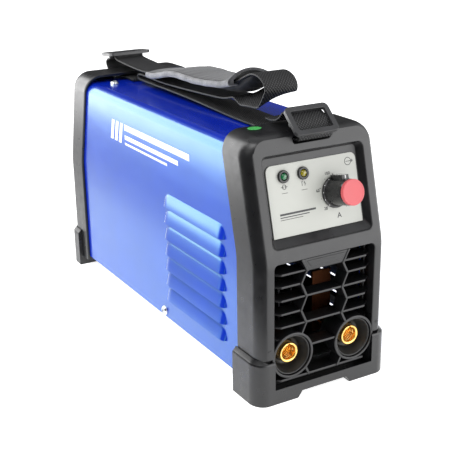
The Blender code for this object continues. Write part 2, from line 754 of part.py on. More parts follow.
def buckle(name, centre, angle, half):
    """Slide buckle: a flat ring with a low middle bar; centre is (y, z), angle is its tilt in degrees."""
    length, thick = 25.5, 3.0
    outer = rounded_box_outline(-half, -length / 2, half, length / 2, 4.0)
    body = prism(name, outer, -thick / 2, thick / 2, black_plastic(), axis="Z")
    window = rounded_box_outline(-WEB_HALF - 0.6, -8.6, WEB_HALF + 0.6, 8.6, 1.2)
    cut(body, prism("window", window, -5, 5, black_plastic(), axis="Z"))
    bar = box("bar", (-WEB_HALF - 2, -1.4, -4.2), (WEB_HALF + 2, 1.4, -2.3), black_plastic())
    lugs = [box("lug", (side * (WEB_HALF + 0.6), -1.4, -4.2), (side * (WEB_HALF + 3.2), 1.4, 0),
                black_plastic()) for side in (-1, 1)]
    fuse(body, bar, *lugs)
    place = Matrix.Translation(Vector((0, front_y(centre[0]), centre[1])) * MM)
    body.data.transform(place @ Matrix.Rotation(math.radians(angle), 4, "X"))
    return body


def sticker():
    outline = [(-33.5 + x, front_y(49.0) + y) for x, y in arc(0, 0, 5.6, 4.6, 0, 345, 23)]
    return prism("inspection_sticker", outline, BEZEL_TOP + GAP, BEZEL_TOP + GAP + 0.3,
                 material("sticker_green", (0.10, 0.50, 0.14), 0.5), axis="Z")


# ---------------------------------------------------------------- rear fittings

def switch_housing():
    body = box("power_switch_housing", (-12.6, -16.0, GAP), (12.6, 16.0, 2.2), black_plastic())
    barrel = box("barrel", (-10.2, -12.8, -17.0), (10.2, 12.8, 1.0), black_plastic())
    fuse(body, barrel)
    cut(body, box("window", (-8.6, -11.2, -14.0), (8.6, 11.2, 6.0), black_plastic()))
    body.data.transform(rear_frame(SWITCH_X, SWITCH_Z))
    return body


def switch_rocker():
    """Rocker tipped to off, turning about a pin across the housing."""
    radius, half = 13.0, 8.3
    outline = [(-9.6, 0.8), (-9.6, -3.0), (-3.5, -6.5), (3.5, -6.5), (9.6, -3.0), (9.6, 0.8), (8.8, 3.6)]
    outline += [(5.0, 2.5), (0.0, 1.9), (-5.0, 2.5), (-8.8, 3.6)]
    body = prism("power_switch_rocker", outline, -half, half,
                 material("rocker_black", (0.02, 0.02, 0.02), 0.3), axis="X")
    pivot = rear_point(SWITCH_X, SWITCH_Z, 0.0)
    body.data.transform(Matrix.Rotation(math.radians(ROCKER_REST), 4, "X"))
    frame = rear_frame(SWITCH_X, SWITCH_Z)
    frame.translation = Vector((0, 0, 0))
    body.data.transform(frame)
    body.location = pivot * MM
    return body


def cable_gland():
    base = rear_point(GLAND_X, GLAND_Z, -10.0)
    profile = [(5.6, 0.0), (8.0, 0.0), (8.0, 10.0 + GAP), (11.5, 10.0 + GAP), (11.5, 14.0), (9.0, 14.0),
               (9.0, 20.0), (5.6, 20.0)]
    return turned("cable_gland", profile, base, REAR_AXIS, black_plastic(), 18)


def gland_nut():
    base = rear_point(GLAND_X, GLAND_Z, 4.4)
    profile = [(9.3, 0.0), (11.8, 0.0), (11.8, 5.5), (9.5, 11.0), (6.4, 12.0), (5.8, 12.0), (5.8, 6.6),
               (9.3, 6.0)]
    return turned("gland_nut", profile, base, REAR_AXIS, black_plastic(), 18)


def fan_frame():
    """Square fan housing with a round duct and three struts to the motor mount."""
    y0, y1 = -FRONT - BEZEL_FRONT_WALL - GAP - 25.0, -FRONT - BEZEL_FRONT_WALL - GAP
    half = FAN_SIZE / 2
    outline = rounded_box_outline(-half, FAN_Z - half, half, FAN_Z + half, 6.0)
    body = prism("fan_frame", outline, y0, y1, material("fan_black", (0.025, 0.025, 0.025), 0.5))
    cut(body, disc("duct", 43.0, (0, y0 - 5, FAN_Z), (0, 1, 0), 40, black_plastic(), 32))
    parts = [disc("mount", 19.0, (0, y0, FAN_Z), (0, 1, 0), 3.0, black_plastic(), 24)]
    for k in range(3):
        strut = box("strut", (-2.0, y0, 0), (2.0, y0 + 3.0, 44.0), black_plastic())
        centre = Matrix.Translation(Vector((0, 0, FAN_Z)) * MM)
        strut.data.transform(centre @ Matrix.Rotation(math.radians(120 * k + 30), 4, "Y"))
        parts.append(strut)
    return fuse(body, *parts)


def fan_rotor():
    """Hub and seven pitched blades."""
    y0 = -FRONT - BEZEL_FRONT_WALL - GAP - 21.0
    body = disc("fan_rotor", 18.5, (0, y0, 0), (0, 1, 0), 18.0,
                material("fan_black", (0.025, 0.025, 0.025), 0.5), 28)
    blades = []
    for k in range(7):
        twist = math.tan(math.radians(38))
        rings = []
        for radius in (16.0, 28.0, 39.5):
            chord = 7.5 + (radius - 16.0) * 0.16
            rise = chord * twist * 16.0 / radius
            rings.append([(-chord, y0 + 9 - rise - 0.8, radius), (chord, y0 + 9 + rise - 0.8, radius),
                          (chord, y0 + 9 + rise + 0.8, radius), (-chord, y0 + 9 - rise + 0.8, radius)])
        blade = loft("blade", rings, black_plastic())
        blade.data.transform(Matrix.Rotation(2 * math.pi * k / 7, 4, "Y"))
        blades.append(blade)
    fuse(body, *blades)
    body.data.transform(Matrix.Translation(Vector((0, 0, FAN_Z)) * MM))
    return set_origin(body, (0, y0 + 9, FAN_Z))


def fan_guard():
    """Finger guard let into the rear face: flat rings on cross bars."""
    y0 = -FRONT - 2.3
    steel = bare_steel()

    def ring(inner, outer):
        profile = [(inner, 0), (outer, 0), (outer, 2.0), (inner, 2.0)]
        return turned("fan_guard", profile, (0, y0, FAN_Z), (0, 1, 0), steel, 28)

    body = ring(10.0, 12.2)
    others = [ring(21.5, 23.5), ring(32.0, 34.0), ring(42.0, GRILLE_RADIUS)]
    for angle in (45, 135):
        bar = box("bar", (-43.0, y0 + 0.2, -1.1), (43.0, y0 + 1.8, 1.1), steel)
        turn = Matrix.Rotation(math.radians(angle), 4, "Y")
        bar.data.transform(Matrix.Translation(Vector((0, 0, FAN_Z)) * MM) @ turn)
        others.append(bar)
    return fuse(body, *others)


# ---------------------------------------------------------------- inside

def heatsink(name, y0, y1):
    """Extruded heatsink: a back plate with fins that stand along the air flow."""
    body = box(name, (-40, y0, 24), (40, y1, 29), aluminium())
    fins = [box("fin", (x - 0.9, y0, 28), (x + 0.9, y1, 62), aluminium()) for x in range(-36, 37, 12)]
    return fuse(body, *fins)


def main_board():
    return box("main_board", (-50, front_y(70), 84), (50, front_y(290), 85.8), circuit_green())


def transformer_core():
    outline = [(-24, 88), (24, 88), (24, 138), (-24, 138)]
    body = prism("transformer_core", outline, front_y(150), front_y(185), ferrite())
    windows = [box("window", (side * 8.5, front_y(140), 97), (side * 16.5, front_y(195), 129), ferrite())
               for side in (-1, 1)]
    return cut(body, *windows)


def transformer_winding():
    """Bobbin wound round the core's middle limb."""
    outer = rounded_box_outline(-15.9, front_y(144), 15.9, front_y(191), 4.0)
    body = prism("transformer_winding", outer, 98, 128, copper(), axis="Z")
    return cut(body, box("limb", (-8.9, front_y(149.6), 90), (8.9, front_y(185.4), 135), copper()))


def output_inductor():
    profile = [(9.0, 0), (24.0, 0), (24.0, 22.0), (9.0, 22.0)]
    return turned("output_inductor", profile, (22, front_y(108), 114), (0, 1, 0), copper(), 28)


def capacitor(name, x, y):
    return disc(name, 12.5, (x, front_y(y), 86.2), (0, 0, 1), 45,
                material("capacitor_sleeve", (0.02, 0.03, 0.12), 0.4), 24)


def plain_box(name, x0, y0, z0, x1, y1, z1, finish_material):
    return box(name, (x0, front_y(y0), z0), (x1, front_y(y1), z1), finish_material)


def bus_bar(name, side):
    """Copper strap from the output stage to a socket stud."""
    x = side * SOCKET_X
    body = box(name, (x - 9, front_y(46.9), 27), (x + 9, front_y(49.4), 80), copper())
    return cut(body, disc("hole", 5.4, (x, front_y(40), SOCKET_Z), (0, 1, 0), 20, copper(), 20))


def insides():
    heatsink("heatsink_front", front_y(66), front_y(160))
    heatsink("heatsink_rear", front_y(172), front_y(268))
    main_board()
    transformer_core()
    transformer_winding()
    output_inductor()
    capacitor("capacitor_front", 28, 218)
    capacitor("capacitor_rear", 28, 250)
    plain_box("rectifier_bridge", -34, 232, 86.2, -4, 262, 96,
              material("epoxy_black", (0.02, 0.02, 0.02), 0.5))
    plain_box("power_relay", -40, 268, 86.2, -20, 284, 106, material("relay_blue", (0.02, 0.10, 0.45), 0.4))
    plain_box("control_board", -46, 80, 90, -44.4, 150, 150, circuit_green())
    bus_bar("bus_bar_left", -1)
    bus_bar("bus_bar_right", 1)


# ---------------------------------------------------------------- assembly

def main():
    for existing in list(bpy.data.objects):
        bpy.data.objects.remove(existing)
    front_bezel()
    rear_bezel()
    front_grille()
    socket_surround()
    foot_guard("front_foot_guard", GUARD_FRONT_DEPTH, 1)
    foot_guard("rear_foot_guard", GUARD_REAR_DEPTH, -1)
    cover()
    base_plate()
    for name, centre, way in screw_places(0.0):
        cover_screw(name, centre, way)
    control_plate()
    current_knob()
    knob_cap()
    potentiometer()
    colours = {"power": (0.02, 0.20, 0.08), "alarm": (0.45, 0.38, 0.02)}
    for word, x in LED_XS.items():
        led_holder(f"{word}_led_holder", x)
        led(f"{word}_led", x, colours[word])
    for word, side in (("left", -1), ("right", 1)):
        socket_body(f"socket_body_{word}", side)
        socket_contact(f"socket_contact_{word}", side)
    strap_webbing()
    shoulder_pad()
    buckle("front_buckle", (23.5, 213.5), 41.8, 19.2)
    buckle("rear_buckle", (349.5, 219.0), -6.0, 22.0)
    sticker()
    switch_housing()
    switch_rocker()
    cable_gland()
    gland_nut()
    fan_frame()
    fan_rotor()
    fan_guard()
    insides()
    case = bpy.data.objects.new("inverter", None)
    bpy.context.collection.objects.link(case)
    case.location = (0, KNOB_REACH / 2 * MM, 0)
    for made in bpy.data.objects:
        if made != case:
            made.parent = case


main()
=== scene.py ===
"""Looks of the stick welding inverter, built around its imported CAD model.

Every shape is laid out in millimetres about the middle of the case, like the CAD, and `solid` scales and
shifts it once. Depths are measured from the front (or rear) bezel face towards the middle of the case.
"""

import math

import bmesh
import bpy
from mathutils import Matrix, Vector


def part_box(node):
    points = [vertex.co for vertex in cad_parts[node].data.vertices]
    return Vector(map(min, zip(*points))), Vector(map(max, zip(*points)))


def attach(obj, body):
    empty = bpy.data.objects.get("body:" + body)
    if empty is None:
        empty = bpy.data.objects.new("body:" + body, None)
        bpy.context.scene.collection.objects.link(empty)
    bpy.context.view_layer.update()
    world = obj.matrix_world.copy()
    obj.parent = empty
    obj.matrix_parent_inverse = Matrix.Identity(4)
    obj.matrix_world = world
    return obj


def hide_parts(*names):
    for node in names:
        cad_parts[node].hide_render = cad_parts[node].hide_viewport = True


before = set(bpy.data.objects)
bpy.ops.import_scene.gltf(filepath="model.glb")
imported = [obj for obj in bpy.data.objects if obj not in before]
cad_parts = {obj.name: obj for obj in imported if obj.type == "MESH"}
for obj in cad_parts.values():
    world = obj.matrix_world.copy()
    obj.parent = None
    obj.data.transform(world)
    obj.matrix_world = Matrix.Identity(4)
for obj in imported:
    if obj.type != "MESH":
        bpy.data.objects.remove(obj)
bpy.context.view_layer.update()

MM = 0.001
FRONT_GUARD_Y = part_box("front_foot_guard")[0].y / MM
REAR_GUARD_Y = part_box("rear_foot_guard")[1].y / MM
MIDDLE = (FRONT_GUARD_Y + REAR_GUARD_Y) / 2       # Y of the middle of the case
LENGTH = REAR_GUARD_Y - FRONT_GUARD_Y

# ---------------------------------------------------------------- driving dimensions, as in the CAD
BEZEL_HALF = 58.5
BEZEL_TOP = 206.0
BEZEL_BOTTOM = 9.3
BEZEL_DEPTH = 34.8
BEZEL_STEP = 1.2
BEZEL_FRONT_WALL = 8.5
BEZEL_WALL = 2.2
FACE_HALF = 51.5
FACE_TOP = 203.5
CORNER_DEPTH = 12.0
KNEE = 114.5
LEAN = 0.25
KNEE_BLEND = 5.0
FRONT = -LENGTH / 2 + BEZEL_STEP

COVER_HALF = 55.9
COVER_TOP = 198.0
COVER_BOTTOM = 13.0
COVER_RADIUS = 10.0
COVER_START = 31.4
LOUVRE_COUNT = 7
LOUVRE_PITCH = 14.4
LOUVRE_TOP = 132.0
LOUVRE_HEIGHT = 12.0
LOUVRE_RISE = 3.6
LOUVRE_FRONT = 57.0
LOUVRE_REAR = 158.0
LOUVRE_END = 9.0          # length over which a louvre rounds off at each end
LOUVRE_DROP = 6.5         # how far its upper edge curves down there
LOUVRE_BULGE = 0.3        # outward bow of its slope
LOUVRE_EASE = 0.16        # share of the slope over which it leaves the sheet
LOUVRE_ROWS = 14

GUARD_HALF = 62.5
GUARD_TOP = 36.2
GUARD_LEDGE = 38.8
GUARD_FRONT_DEPTH = 36.8
GUARD_REAR_DEPTH = 22.3
GUARD_FLOOR = 6.0
FOOT_INNER = 25.0

OPENING_HALF = 47.0
OPENING_BOTTOM = 12.8
OPENING_TOP = 115.3
PANEL_DEPTH = 6.3
RECESS_MOUTH = (45.2, 125.5, 191.6, 0, 4.0)       # half width, bottom, top, depth, corner radius
PLATE_HALF = 40.7
PLATE_BOTTOM = 131.2
PLATE_TOP = 183.5
PLATE_THICK = 1.0
PLATE_FACE = PANEL_DEPTH - 0.2 - PLATE_THICK
KNOB_X, KNOB_Z = 17.8, 156.6
KNOB_HEIGHT = 24.3
LED_Z = 174.6
LED_XS = {"power": -26.4, "alarm": -8.9}
SOCKET_X, SOCKET_Z = 29.0, 37.5
COLLAR_OUTER = 18.8
COLLAR_INNER = 16.6
HEX_LEVELS = [105.0, 95.0, 84.0, 73.0, 62.2, 52.0]
HEX_NARROW, HEX_WIDE = 16.5, 21.5

WEB_HALF = 15.0
WEB_THICK = 1.8
FAN_Z = 62.0
GRILLE_RADIUS = 45.6
SWITCH_X, SWITCH_Z = -20.0, 160.0
ROCKER_REST = 9.0
GLAND_X, GLAND_Z = 22.0, 158.0
SHARP = 32                # degrees above which an edge stays hard


# ---------------------------------------------------------------- procedural materials

class Look:
    """A Principled material that is built up from procedural layers."""

    def __init__(self, name, colour, roughness, metallic=0.0, **sockets):
        self.material = bpy.data.materials.new(name)
        self.material.use_nodes = True
        self.tree = self.material.node_tree
        self.shader = self.tree.nodes["Principled BSDF"]
        self.colour, self.roughness = colour, roughness
        self.set("Base Color", (*colour, 1.0))
        self.set("Roughness", roughness)
        self.set("Metallic", metallic)
        for socket, value in sockets.items():
            self.set(socket.replace("_", " "), value)
        self.place = self.tree.nodes.new("ShaderNodeTexCoord").outputs["Object"]
        self.last_bump = None

    def set(self, socket, value):
        self.shader.inputs[socket].default_value = value

    def node(self, kind, **inputs):
        made = self.tree.nodes.new(kind)
        for socket, value in inputs.items():
            key = socket.replace("_", " ")
            if hasattr(value, "is_output"):
                self.tree.links.new(value, made.inputs[key])
            else:
                made.inputs[key].default_value = value
        return made

    def stretched(self, scale):
        return self.node("ShaderNodeMapping", Vector=self.place, Scale=scale).outputs["Vector"]

    def noise(self, per_metre, detail=4.0, stretch=(1, 1, 1), roughness=0.55):
        made = self.node("ShaderNodeTexNoise", Vector=self.stretched(stretch), Scale=per_metre,
                         Detail=detail, Roughness=roughness)
        return made.outputs["Fac"]

    def ramp(self, factor, stops):
        made = self.node("ShaderNodeValToRGB", Fac=factor)
        ramp = made.color_ramp
        while len(ramp.elements) < len(stops):
            ramp.elements.new(0.5)
        for element, (at, colour) in zip(ramp.elements, stops):
            element.position, element.color = at, (*colour, 1.0)
        return made.outputs["Color"]

    def tint(self, factor, spread, low=0.3, high=0.7):
        """Vary the base colour by the spread, darker where the factor is low."""
        dark = tuple(c * (1 - spread) for c in self.colour)
        light = tuple(min(c * (1 + spread), 1.0) for c in self.colour)
        self.tree.links.new(self.ramp(factor, [(low, dark), (high, light)]), self.shader.inputs["Base Color"])
        return self

    def gloss(self, factor, spread):
        """Vary the roughness by the spread on both sides of its value."""
        made = self.node("ShaderNodeMapRange", Value=factor, From_Min=0.3, From_Max=0.7,
                         To_Min=self.roughness - spread, To_Max=self.roughness + spread)
        self.tree.links.new(made.outputs["Result"], self.shader.inputs["Roughness"])
        return self

    def bump(self, height, depth_mm, strength=1.0):
        made = self.node("ShaderNodeBump", Height=height, Strength=strength, Distance=depth_mm * MM)
        if self.last_bump:
            self.tree.links.new(self.last_bump, made.inputs["Normal"])
        self.last_bump = made.outputs["Normal"]
        self.tree.links.new(self.last_bump, self.shader.inputs["Normal"])
        return self

    def mixed(self, kind, a, b):
        made = self.tree.nodes.new("ShaderNodeMath")
        made.operation = kind
        for socket, value in zip(made.inputs, (a, b)):
            if hasattr(value, "is_output"):
                self.tree.links.new(value, socket)
            else:
                socket.default_value = value
        return made.outputs["Value"]


def moulded(name, colour, roughness=0.42, grain=0.05, per_metre=2600.0, spread=0.18):
    """Injection moulded plastic: spark-eroded grain, faint handling marks, uneven sheen."""
    look = Look(name, colour, roughness)
    grain_height = look.noise(per_metre, 2.0)
    marks = look.noise(60.0, 5.0)
    return look.tint(marks, spread).gloss(look.noise(140.0, 3.0), 0.06).bump(grain_height, grain, 0.55)


def gloss_paint():
    """Blue enamel over sheet steel: tinted flakes under a thin clear coat, orange peel, uneven rolling."""
    look = Look("blue_enamel", (0.002, 0.018, 0.42), 0.20, IOR=1.9, Specular_Tint=(0.30, 0.95, 0.9, 1.0),
                Coat_Weight=0.08, Coat_Roughness=0.06)
    look.tint(look.noise(18.0, 3.0), 0.08).gloss(look.noise(90.0, 3.0, (1, 0.25, 1)), 0.04)
    look.bump(look.noise(9.0, 1.0, (1, 0.5, 1)), 0.8, 0.10)
    return look.bump(look.noise(700.0, 1.0), 0.02, 0.3)


def brushed(name, colour, roughness, stretch):
    """Metal with fine parallel marks along the axis whose stretch is smallest."""
    look = Look(name, colour, roughness, 1.0)
    lines = look.noise(900.0, 6.0, stretch, 0.7)
    look.tint(look.noise(70.0, 4.0), 0.10).gloss(lines, 0.09)
    return look.bump(lines, 0.02, 0.5)


def turned_metal(name, colour, roughness):
    """Machined or plated round piece: fine tool marks and a cloudy tarnish."""
    look = Look(name, colour, roughness, 1.0)
    look.tint(look.noise(420.0, 4.0), 0.16).gloss(look.noise(900.0, 3.0), 0.08)
    return look.bump(look.noise(3000.0, 2.0), 0.015, 0.5)


def clear_plastic(name, colour):
    """Tinted lens under a glossy skin."""
    look = Look(name, colour, 0.08, Coat_Weight=1.0, Coat_Roughness=0.03, Transmission_Weight=0.25)
    return look.tint(look.noise(900.0, 2.0), 0.25).bump(look.noise(500.0, 2.0), 0.02, 0.3)


def woven(name, colour, sheen, per_metre, depth):
    """Polyester yarn: twisted fibres, dull with a soft sheen."""
    look = Look(name, colour, 0.82, Sheen_Weight=sheen, Sheen_Roughness=0.45)
    fibres = look.noise(per_metre, 3.0, (1, 0.35, 1))
    look.tint(look.mixed("MULTIPLY", fibres, look.noise(90.0, 3.0)), 0.45, 0.15, 0.4)
    return look.bump(fibres, depth, 0.8)


YARN_ACROSS, YARN_ALONG = 1.25, 1.30      # spacing of the yarn crossings, in the strap's own map


def webbing():
    """Plain weave laid out in the strap's own millimetre map, every second crossing standing proud."""
    look = Look("webbing_black", (0.006, 0.006, 0.007), 0.55, Specular_IOR_Level=0.3)
    split = look.node("ShaderNodeSeparateXYZ", Vector=look.tree.nodes["Texture Coordinate"].outputs["UV"])
    waves = [look.mixed("SINE", look.mixed("MULTIPLY", split.outputs[axis], math.pi / pitch), 0.0)
             for axis, pitch in (("X", YARN_ACROSS), ("Y", YARN_ALONG))]
    weave = look.mixed("MULTIPLY_ADD", look.mixed("MULTIPLY", *waves), 0.5)
    weave.node.inputs[2].default_value = 0.5
    fibres = look.noise(3600.0, 3.0)
    # the weave pattern is real; its darker hollows are painted shade and its lighter crossings a painted
    # highlight over the yarn's black
    tone = look.ramp(weave, [(0.3, (0.001, 0.001, 0.001)), (0.6, look.colour), (0.95, (0.05, 0.05, 0.053))])
    look.tree.links.new(tone, look.shader.inputs["Base Color"])
    return look.bump(weave, 0.55, 1.0).bump(fibres, 0.05, 0.5)


def mesh_fabric(name, colour):
    """Fine knitted mesh: rows of small dark cells in a lighter yarn."""
    look = Look(name, colour, 0.75, Sheen_Weight=0.25, Sheen_Roughness=0.4)
    yarns = look.node("ShaderNodeTexVoronoi", Vector=look.stretched((1, 1.3, 1)), Scale=620.0)
    cells = yarns.outputs["Distance"]
    dark = tuple(c * 0.45 for c in colour)
    tone = look.ramp(cells, [(0.12, dark), (0.45, colour)])
    look.tree.links.new(tone, look.shader.inputs["Base Color"])
    return look.bump(cells, 0.25, 0.6)


RECIPES = {                # maker and its values for each look
    "bezel": (moulded, "satin_black", (0.008, 0.008, 0.009), 0.33, 0.03),
    "guard": (moulded, "guard_black", (0.008, 0.008, 0.009), 0.32, 0.035),
    "grille": (moulded, "grille_black", (0.007, 0.007, 0.008), 0.34, 0.03),
    "socket": (moulded, "socket_black", (0.012, 0.012, 0.012), 0.45),
    "buckle": (moulded, "buckle_grey", (0.026, 0.026, 0.028), 0.34, 0.03),
    "knob": (moulded, "knob_black", (0.006, 0.006, 0.007), 0.26, 0.008),
    "cap": (moulded, "cap_red", (0.52, 0.075, 0.085), 0.42, 0.02, 2600.0, 0.05),
    "rocker": (moulded, "rocker_gloss", (0.012, 0.012, 0.012), 0.18, 0.02),
    "fan": (moulded, "fan_black", (0.013, 0.013, 0.013), 0.40),
    "blue": (gloss_paint,),
    "plate": (moulded, "printed_plate", (0.44, 0.445, 0.41), 0.40, 0.02, 1400.0, 0.015),
    "ink": (moulded, "print_ink", (0.03, 0.03, 0.032), 0.5, 0.01),
    "white_ink": (moulded, "white_print", (0.86, 0.86, 0.84), 0.4, 0.01, 2600.0, 0.04),
    "zinc": (turned_metal, "zinc_plate", (0.62, 0.64, 0.66), 0.22),
    "brass": (turned_metal, "turned_brass", (0.83, 0.52, 0.16), 0.20),
    "wire": (turned_metal, "plated_wire", (0.66, 0.67, 0.68), 0.18),
    "steel": (brushed, "galvanised", (0.30, 0.31, 0.32), 0.45, (1, 0.1, 1)),
    # heatsinks near black: anodised colour darkened as painted shade for the inside of the case
    "aluminium": (brushed, "black_anodised", (0.05, 0.05, 0.055), 0.42, (1, 0.04, 1)),
    # copper darkened below its varnished colour: painted shade for the parts inside the case
    "copper": (turned_metal, "varnished_copper", (0.10, 0.035, 0.015), 0.45),
    # near-black inner faces of the cover: painted shade that keeps the inside of the case dark
    "primer": (moulded, "inside_primer", (0.006, 0.006, 0.007), 0.75),
    "green_led": (clear_plastic, "green_lens", (0.012, 0.16, 0.055)),
    "yellow_led": (clear_plastic, "yellow_lens", (0.30, 0.25, 0.012)),
    "holder": (moulded, "holder_gloss", (0.012, 0.012, 0.012), 0.15, 0.01),
    "web": (webbing,),
    "pad": (mesh_fabric, "pad_mesh", (0.055, 0.055, 0.06)),
    "binding": (woven, "pad_binding", (0.20, 0.20, 0.21), 0.3, 2400.0, 0.05),
    # black cloth under the pad: painted shade
    "lining": (woven, "pad_lining", (0.006, 0.006, 0.007), 0.05, 1500.0, 0.12),
    "thread": (woven, "stitch_thread", (0.03, 0.03, 0.03), 0.2, 3000.0, 0.1),
    "sticker": (moulded, "label_green", (0.07, 0.42, 0.10), 0.30, 0.01, 2600.0, 0.08),
    "board": (moulded, "solder_mask", (0.015, 0.14, 0.05), 0.35, 0.05, 700.0, 0.3),
    "ferrite": (moulded, "ferrite", (0.06, 0.06, 0.065), 0.6, 0.1, 900.0),
    "sleeve": (moulded, "capacitor_sleeve", (0.02, 0.03, 0.12), 0.28, 0.01),
    "epoxy": (moulded, "epoxy", (0.018, 0.018, 0.018), 0.45),
    "relay": (moulded, "relay_case", (0.02, 0.09, 0.42), 0.30, 0.02),
}
LOOKS = {}


def look_of(key):
    """The material for a key, made the first time that it is asked for."""
    if key not in LOOKS:
        maker, *values = RECIPES[key]
        LOOKS[key] = maker(*values).material
    return LOOKS[key]


# ---------------------------------------------------------------- mesh helpers (millimetres in)

def lean(z):
    """Backward shift of a bezel face at height z: none below the knee, a constant slope above it."""
    if z <= KNEE - KNEE_BLEND:
        return 0.0
    if z >= KNEE + KNEE_BLEND:
        return LEAN * (z - KNEE)
    return LEAN * (z - KNEE + KNEE_BLEND) ** 2 / (4 * KNEE_BLEND)


def on_face(x, depth, z, side=1):
    return (x, side * (FRONT + depth + lean(z)), z)


def linked(name, data):
    """A scene object that holds the data."""
    obj = bpy.data.objects.new(name, data)
    bpy.context.scene.collection.objects.link(obj)
    return obj


def baked(obj):
    """A new mesh with the object's modifiers applied."""
    return bpy.data.meshes.new_from_object(obj.evaluated_get(bpy.context.evaluated_depsgraph_get()))


def solid(name, points, faces, place=None, repair=True):
    """A mesh object from points in millimetres, carried by an optional frame, then scaled to metres."""
    tool = bmesh.new()
    shift = Vector((0, MIDDLE, 0))
    carry = place or Matrix.Identity(4)
    made = [tool.verts.new(((carry @ Vector(p)) + shift) * MM) for p in points]
    for face in faces:
        tool.faces.new([made[i] for i in face])
    if repair:
        bmesh.ops.recalc_face_normals(tool, faces=tool.faces)
    mesh = bpy.data.meshes.new(name)
    tool.to_mesh(mesh)
    tool.free()
    return linked(name, mesh)


def bands(rings, count, closed):
    faces = []
    for k in range(rings if closed else rings - 1):
        a, b = k * count, (k + 1) % rings * count
        faces += [(a + i, a + (i + 1) % count, b + (i + 1) % count, b + i) for i in range(count)]
    return faces


def loft(name, rings, place=None, closed=False):
    """Skin equal rings of points and cap the ends, or join the last ring to the first."""
    count = len(rings[0])
    points = [p for ring in rings for p in ring]
    faces = bands(len(rings), count, closed)
    if not closed:
        faces += [tuple(range(count)), tuple(range(len(points) - count, len(points)))]
    return solid(name, points, faces, place)


def ladder(name, rings):
    """Skin rings that mirror about X = 0; rungs from side to side cap the ends, which may bend."""
    count = len(rings[0])
    points = [p for ring in rings for p in ring]
    faces = bands(len(rings), count, False)
    for base in (0, len(points) - count):
        faces += [(base + i, base + i + 1, base + count - 2 - i, base + count - 1 - i)
                  for i in range(count // 2 - 1)]
    return solid(name, points, faces)


def prism(name, outline, start, end, axis="Y", place=None):
    """Extrude an outline: (x, z) along Y, (y, z) along X, or (x, y) along Z."""
    order = {"Y": (0, 2, 1), "X": (2, 0, 1), "Z": (0, 1, 2)}[axis]
    rings = [[tuple((u, v, w)[i] for i in order) for u, v in outline] for w in (start, end)]
    return loft(name, rings, place)


def box(name, low, high, place=None):
    (x0, y0, z0), (x1, y1, z1) = low, high
    return prism(name, [(x0, y0), (x1, y0), (x1, y1), (x0, y1)], z0, z1, "Z", place)


def arc(cx, cy, rx, ry, start, end, steps):
    """Points along part of an ellipse, between two angles in degrees."""
    angles = [math.radians(start + (end - start) * i / steps) for i in range(steps + 1)]
    return [(cx + rx * math.cos(a), cy + ry * math.sin(a)) for a in angles]


def strip(a, b, width, past=0.0):
    """Outline of a straight bar between two points, run past both of them."""
    along = (b - a).normalized()
    across = Vector((-along.y, along.x)) * width / 2
    a, b = a - along * past, b + along * past
    return [tuple(a - across), tuple(b - across), tuple(b + across), tuple(a + across)]


def mirrored(right):
    return right + [(-x, v) for x, v in reversed(right)]


def rounded_box(half_u, half_v, radius, steps=6):
    """Outline of a rectangle with round corners about the origin."""
    u, v = half_u - radius, half_v - radius
    corners = ((u, v, 0), (-u, v, 90), (-u, -v, 180), (u, -v, 270))
    return [p for cu, cv, start in corners
            for p in arc(cu, cv, radius, radius, start, start + 90, steps)]


def turned(name, profile, place, steps=48):
    """Spin a (radius, height) profile about the frame's Z axis; a first and last radius of 0 close it."""
    rings = []
    for k in range(steps):
        a = 2 * math.pi * k / steps
        rings.append([(r * math.cos(a), r * math.sin(a), h) for r, h in profile])
    made = loft(name, rings, place, closed=True)
    tool = bmesh.new()
    tool.from_mesh(made.data)
    bmesh.ops.remove_doubles(tool, verts=tool.verts, dist=0.002 * MM)
    bmesh.ops.recalc_face_normals(tool, faces=tool.faces)
    tool.to_mesh(made.data)
    tool.free()
    return made


def rod(name, radius, start, end, steps=32):
    """A plain cylinder between two points."""
    a, b = Vector(start), Vector(end)
    return turned(name, [(0, 0), (radius, 0), (radius, (b - a).length), (0, (b - a).length)],
                  upright(a, b - a), steps)


def upright(origin, axis, across=(1, 0, 0)):
    """Frame with its Z along axis, its X as near as it can be to across, and its Y up the panel."""
    z = Vector(axis).normalized()
    y = z.cross(Vector(across)).normalized()
    x = y.cross(z)
    return Matrix.Translation(Vector(origin)) @ Matrix((x, y, z)).transposed().to_4x4()


def boolean(target, tools, operation):
    for tool in tools:
        step = target.modifiers.new("step", "BOOLEAN")
        step.operation, step.solver, step.object = operation, "EXACT", tool
    result = baked(target)
    target.modifiers.clear()
    target.data = result
    for tool in tools:
        bpy.data.objects.remove(tool)
    return target


def cut(target, *tools):
    return boolean(target, tools, "DIFFERENCE")


def fuse(target, *tools):
    return boolean(target, tools, "UNION")


def joined(name, parts):
    """One object from several, each part a closed shell of its own."""
    tool = bmesh.new()
    for part in parts:
        tool.from_mesh(part.data)
        bpy.data.objects.remove(part)
    mesh = bpy.data.meshes.new(name)
    tool.to_mesh(mesh)
    tool.free()
    return linked(name, mesh)


def bevelled(obj, width, segments=2, angle=SHARP):
    step = obj.modifiers.new("rounding", "BEVEL")
    step.width, step.segments = width * MM, segments
    step.limit_method, step.angle_limit = "ANGLE", math.radians(angle)
    step.use_clamp_overlap = True
    return obj


def dress(obj, look, slot, *stands_for, body="case", angle=SHARP):
    """Shade and paint a piece, and tie it to its body and to the CAD nodes that it stands for."""
    if look:
        obj.data.materials.clear()
        obj.data.materials.append(look_of(look))
    obj.data.shade_smooth()
    obj.data.set_sharp_from_angle(angle=math.radians(angle))
    even = obj.modifiers.new("even_normals", "WEIGHTED_NORMAL")
    even.keep_sharp = True
    even.weight = 80
    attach(obj, body)
    if stands_for:
        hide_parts(*stands_for)


# ---------------------------------------------------------------- bezels

def bezel_ring(depth, half, top, radius, side, bottom=BEZEL_BOTTOM):
    heights = [bottom] + [KNEE + KNEE_BLEND * k / 3 for k in range(-3, 4)] + [150.0]
    right = [(half, z) for z in heights] + arc(half - radius, top - radius, radius, radius, 0, 90, 12)
    return [on_face(x, depth, z, side) for x, z in mirrored(right)]


